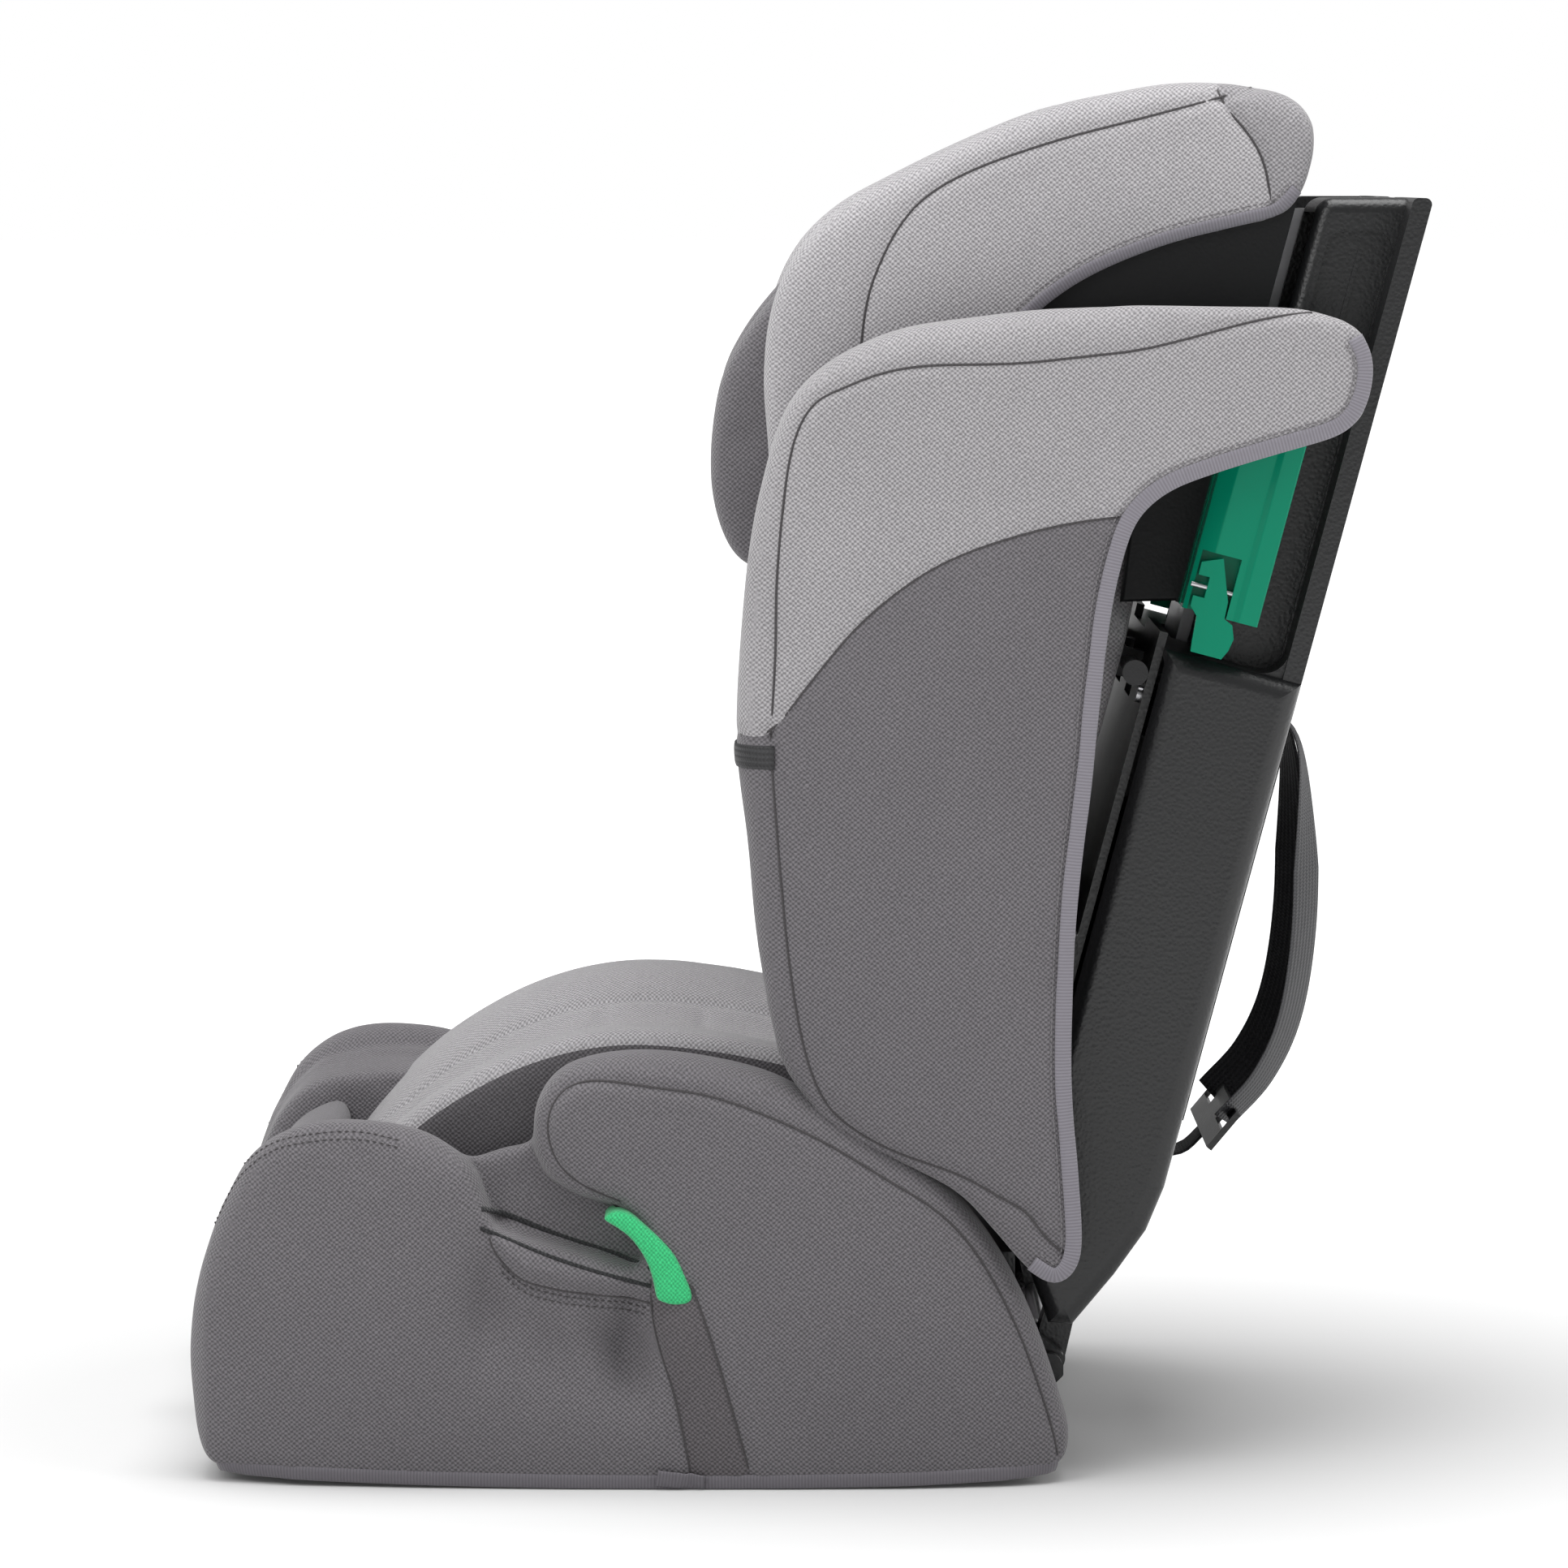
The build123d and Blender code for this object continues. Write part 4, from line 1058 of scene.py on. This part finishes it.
# the front straps' ends at the buckle on the base and at their slots in the backrest
STRAP_LOW, STRAP_HIGH = [(0.0, y * MM, z * MM) for y, z in seat_frame([(-146, 222), (-93, 344)])]
for side, sign in (("left", 1), ("right", -1)):
    path = lean_path(FRONT_RUN, 48 * sign)
    path[:, 0] -= sign * 26 * np.clip(1 - np.arange(len(path)) / 26, 0, 1)
    front_strap = ribbon("shoulder_strap_" + side + "_web", path, across_path(path), WEB, 1.8, webbing)
    path = lean_path(REAR_RUN, 48 * sign)
    twist = across_path(path)
    turn = 0.42 * np.clip(np.arange(len(path)) / 20 - 0.9, 0, 1)
    twist[:, 0] -= sign * turn * np.linalg.norm(twist, axis=1)
    rear_strap = ribbon("rear_strap_" + side + "_web", path, twist, WEB, 1.8, webbing)
    pad_path = lean_path([(-140, 231), (-124, 259), (-106, 300)], 48 * sign)
    pad_path[:, 0] -= sign * np.linspace(18, 2, len(pad_path))
    sleeve = ribbon("shoulder_sleeve_" + side, pad_path, across_path(pad_path), 54, 15, pad_cloth_and_fold_shade, sides=28)
    for piece in (front_strap, sleeve):
        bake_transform(piece)
    place(front_strap, None, "webbing", ["shoulder_strap_" + side])
    place(rear_strap, "backrest", "webbing", ["rear_strap_" + side])
    place(sleeve, None, "harness_pad", ["shoulder_pad_" + side], 0.8)
low_path = lean_path([(54, 112), (46, 100), (32, 95), (14, 93), (0, 70)], 0)
low_strap = ribbon("adjuster_web_rear", low_path, across_path(low_path), WEB, 1.8, webbing)
place(low_strap, "backrest", "webbing", ["adjuster_strap_rear"])


def upright_web(name, points, width, node):
    """Webbing that stays with the base, along a (Y, Z) path on the centre line."""
    line = curve(np.array(points, float), 3.0)
    path = np.column_stack([np.zeros(len(line)), line])
    piece = ribbon(name, path, across_path(path), width, 2.0, webbing)
    place(piece, "base", "webbing", [node])


crotch_y = (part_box("crotch_pad")[0][1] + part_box("crotch_pad")[1][1]) / 2 / MM
upright_web("crotch_web", [(crotch_y, 100), (crotch_y, 170), (crotch_y, 204), (crotch_y + 4, 226)], 40,
            "crotch_strap")
upright_web("adjuster_web_tail", [(-187.5, 63), (-197, 60), (-208, 52), (-210.5, 42), (-209.5, 32)], 25,
            "adjuster_tail_strap")
low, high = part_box("crotch_pad")
mid = [(a + b) / 2 / MM for a, b in zip(low, high)]
pad_points = [(0, mid[1], z) for z in np.linspace(low[2] / MM, high[2] / MM, 12)]
crotch_sleeve = ribbon("crotch_sleeve", pad_points, [(0, 1, 0)] * 12, 58, 15, pad_cloth_and_fold_shade, sides=28)
place(crotch_sleeve, "base", "harness_pad", ["crotch_pad"], 0.8)

# ---- CAD pieces that stay
FINISH = {"green_plastic": green_gloss, "steel": steel, "tongue_black": black_trim,
          "red_plastic": red_gloss, "trim_plastic": black_trim, "black_plastic": black_shell,
          "webbing": webbing, "harness_pad": pad_cloth_and_fold_shade, "light_fabric": fabric_light,
          "dark_fabric": fabric_dark, "green_fabric": fabric_green}
slot_of = {row["node"]: row["material_slot"] for row in frame["record"]["subparts"]}
for node, piece in frame["nodes"].items():
    # the headrest shell takes the black plastic with painted shade
    finish = black_painted_shade if node == "headrest_shell" else FINISH[slot_of[node]]
    for index in range(len(piece.material_slots)):
        piece.material_slots[index].material = finish

# ---- stage, light, camera
floor_mesh = bpy.data.meshes.new("floor")
floor_mesh.from_pydata([(-60, -60, 0), (60, -60, 0), (60, 60, 0), (-60, 60, 0)], [], [(0, 1, 2, 3)])
floor = bpy.data.objects.new("floor", floor_mesh)
into_scene(floor)
floor_material, floor_net, floor_shader = new_material("floor_painted_shadow_glow")
set_inputs(floor_shader, Base_Color=(0.70, 0.70, 0.70, 1), Roughness=0.9, Specular_IOR_Level=0.0,
           Emission_Color=(1, 1, 1, 1))
# The floor glows weakly near the seat and more strongly further out: a painted soft shadow round the seat
# that fades into white.
floor_spot = floor_net.nodes.new("ShaderNodeTexCoord")
floor_reach = floor_net.nodes.new("ShaderNodeVectorMath")
floor_reach.operation = "LENGTH"
floor_net.links.new(floor_spot.outputs["Object"], floor_reach.inputs[0])
floor_glow_painted_shadow = floor_net.nodes.new("ShaderNodeMapRange")
for socket, value in zip(floor_glow_painted_shadow.inputs[1:5], (0.30, 1.30, 0.02, 0.60)):
    socket.default_value = value
floor_net.links.new(floor_reach.outputs["Value"], floor_glow_painted_shadow.inputs[0])
floor_net.links.new(floor_glow_painted_shadow.outputs[0], floor_shader.inputs["Emission Strength"])
floor_mesh.materials.append(floor_material)

# white surroundings that light the seat less than they show
world = bpy.data.worlds.new("studio")
world.use_nodes = True
sky = world.node_tree.nodes
seen = sky.new("ShaderNodeLightPath")
strength = ramp(world.node_tree, seen.outputs["Is Camera Ray"], 0.58, 0.42)
sky["Background"].inputs[0].default_value = (1, 1, 1, 1)
world.node_tree.links.new(strength, sky["Background"].inputs[1])
bpy.context.scene.world = world
bpy.context.scene.view_settings.view_transform = "Standard"


def aim_light(name, kind, place, power):
    data = bpy.data.lights.new(name, kind)
    data.energy = power
    light = bpy.data.objects.new(name, data)
    light.location = place
    light.rotation_euler = (Vector(AIM) - Vector(place)).to_track_quat("-Z", "Y").to_euler()
    into_scene(light)
    return data


def area_light(name, place, size, power):
    data = aim_light(name, "AREA", place, power)
    data.shape = "RECTANGLE"
    data.size, data.size_y = size


AIM = (0, 0.08, 0.3)
aim_light("overhead", "SUN", (0.15, -0.25, 3.2), 1.35).angle = math.radians(60)
area_light("key", (1.7, -1.2, 1.5), (1.2, 1.2), 15)
area_light("top", (0.0, 0.1, 2.4), (1.6, 1.6), 28)
area_light("rear_rim", (1.0, 2.2, 1.2), (0.8, 1.6), 12)

CAMERA_PLACE = (3.5, 0.071, 0.612)
CAMERA_PITCH = 4.9
lens = bpy.data.cameras.new("camera")
lens.sensor_width = 36.0
lens.lens = 164.0
camera = bpy.data.objects.new("camera", lens)
camera.location = CAMERA_PLACE
camera.rotation_euler = (math.radians(90 - CAMERA_PITCH), 0, math.radians(90))
into_scene(camera)
bpy.context.scene.camera = camera
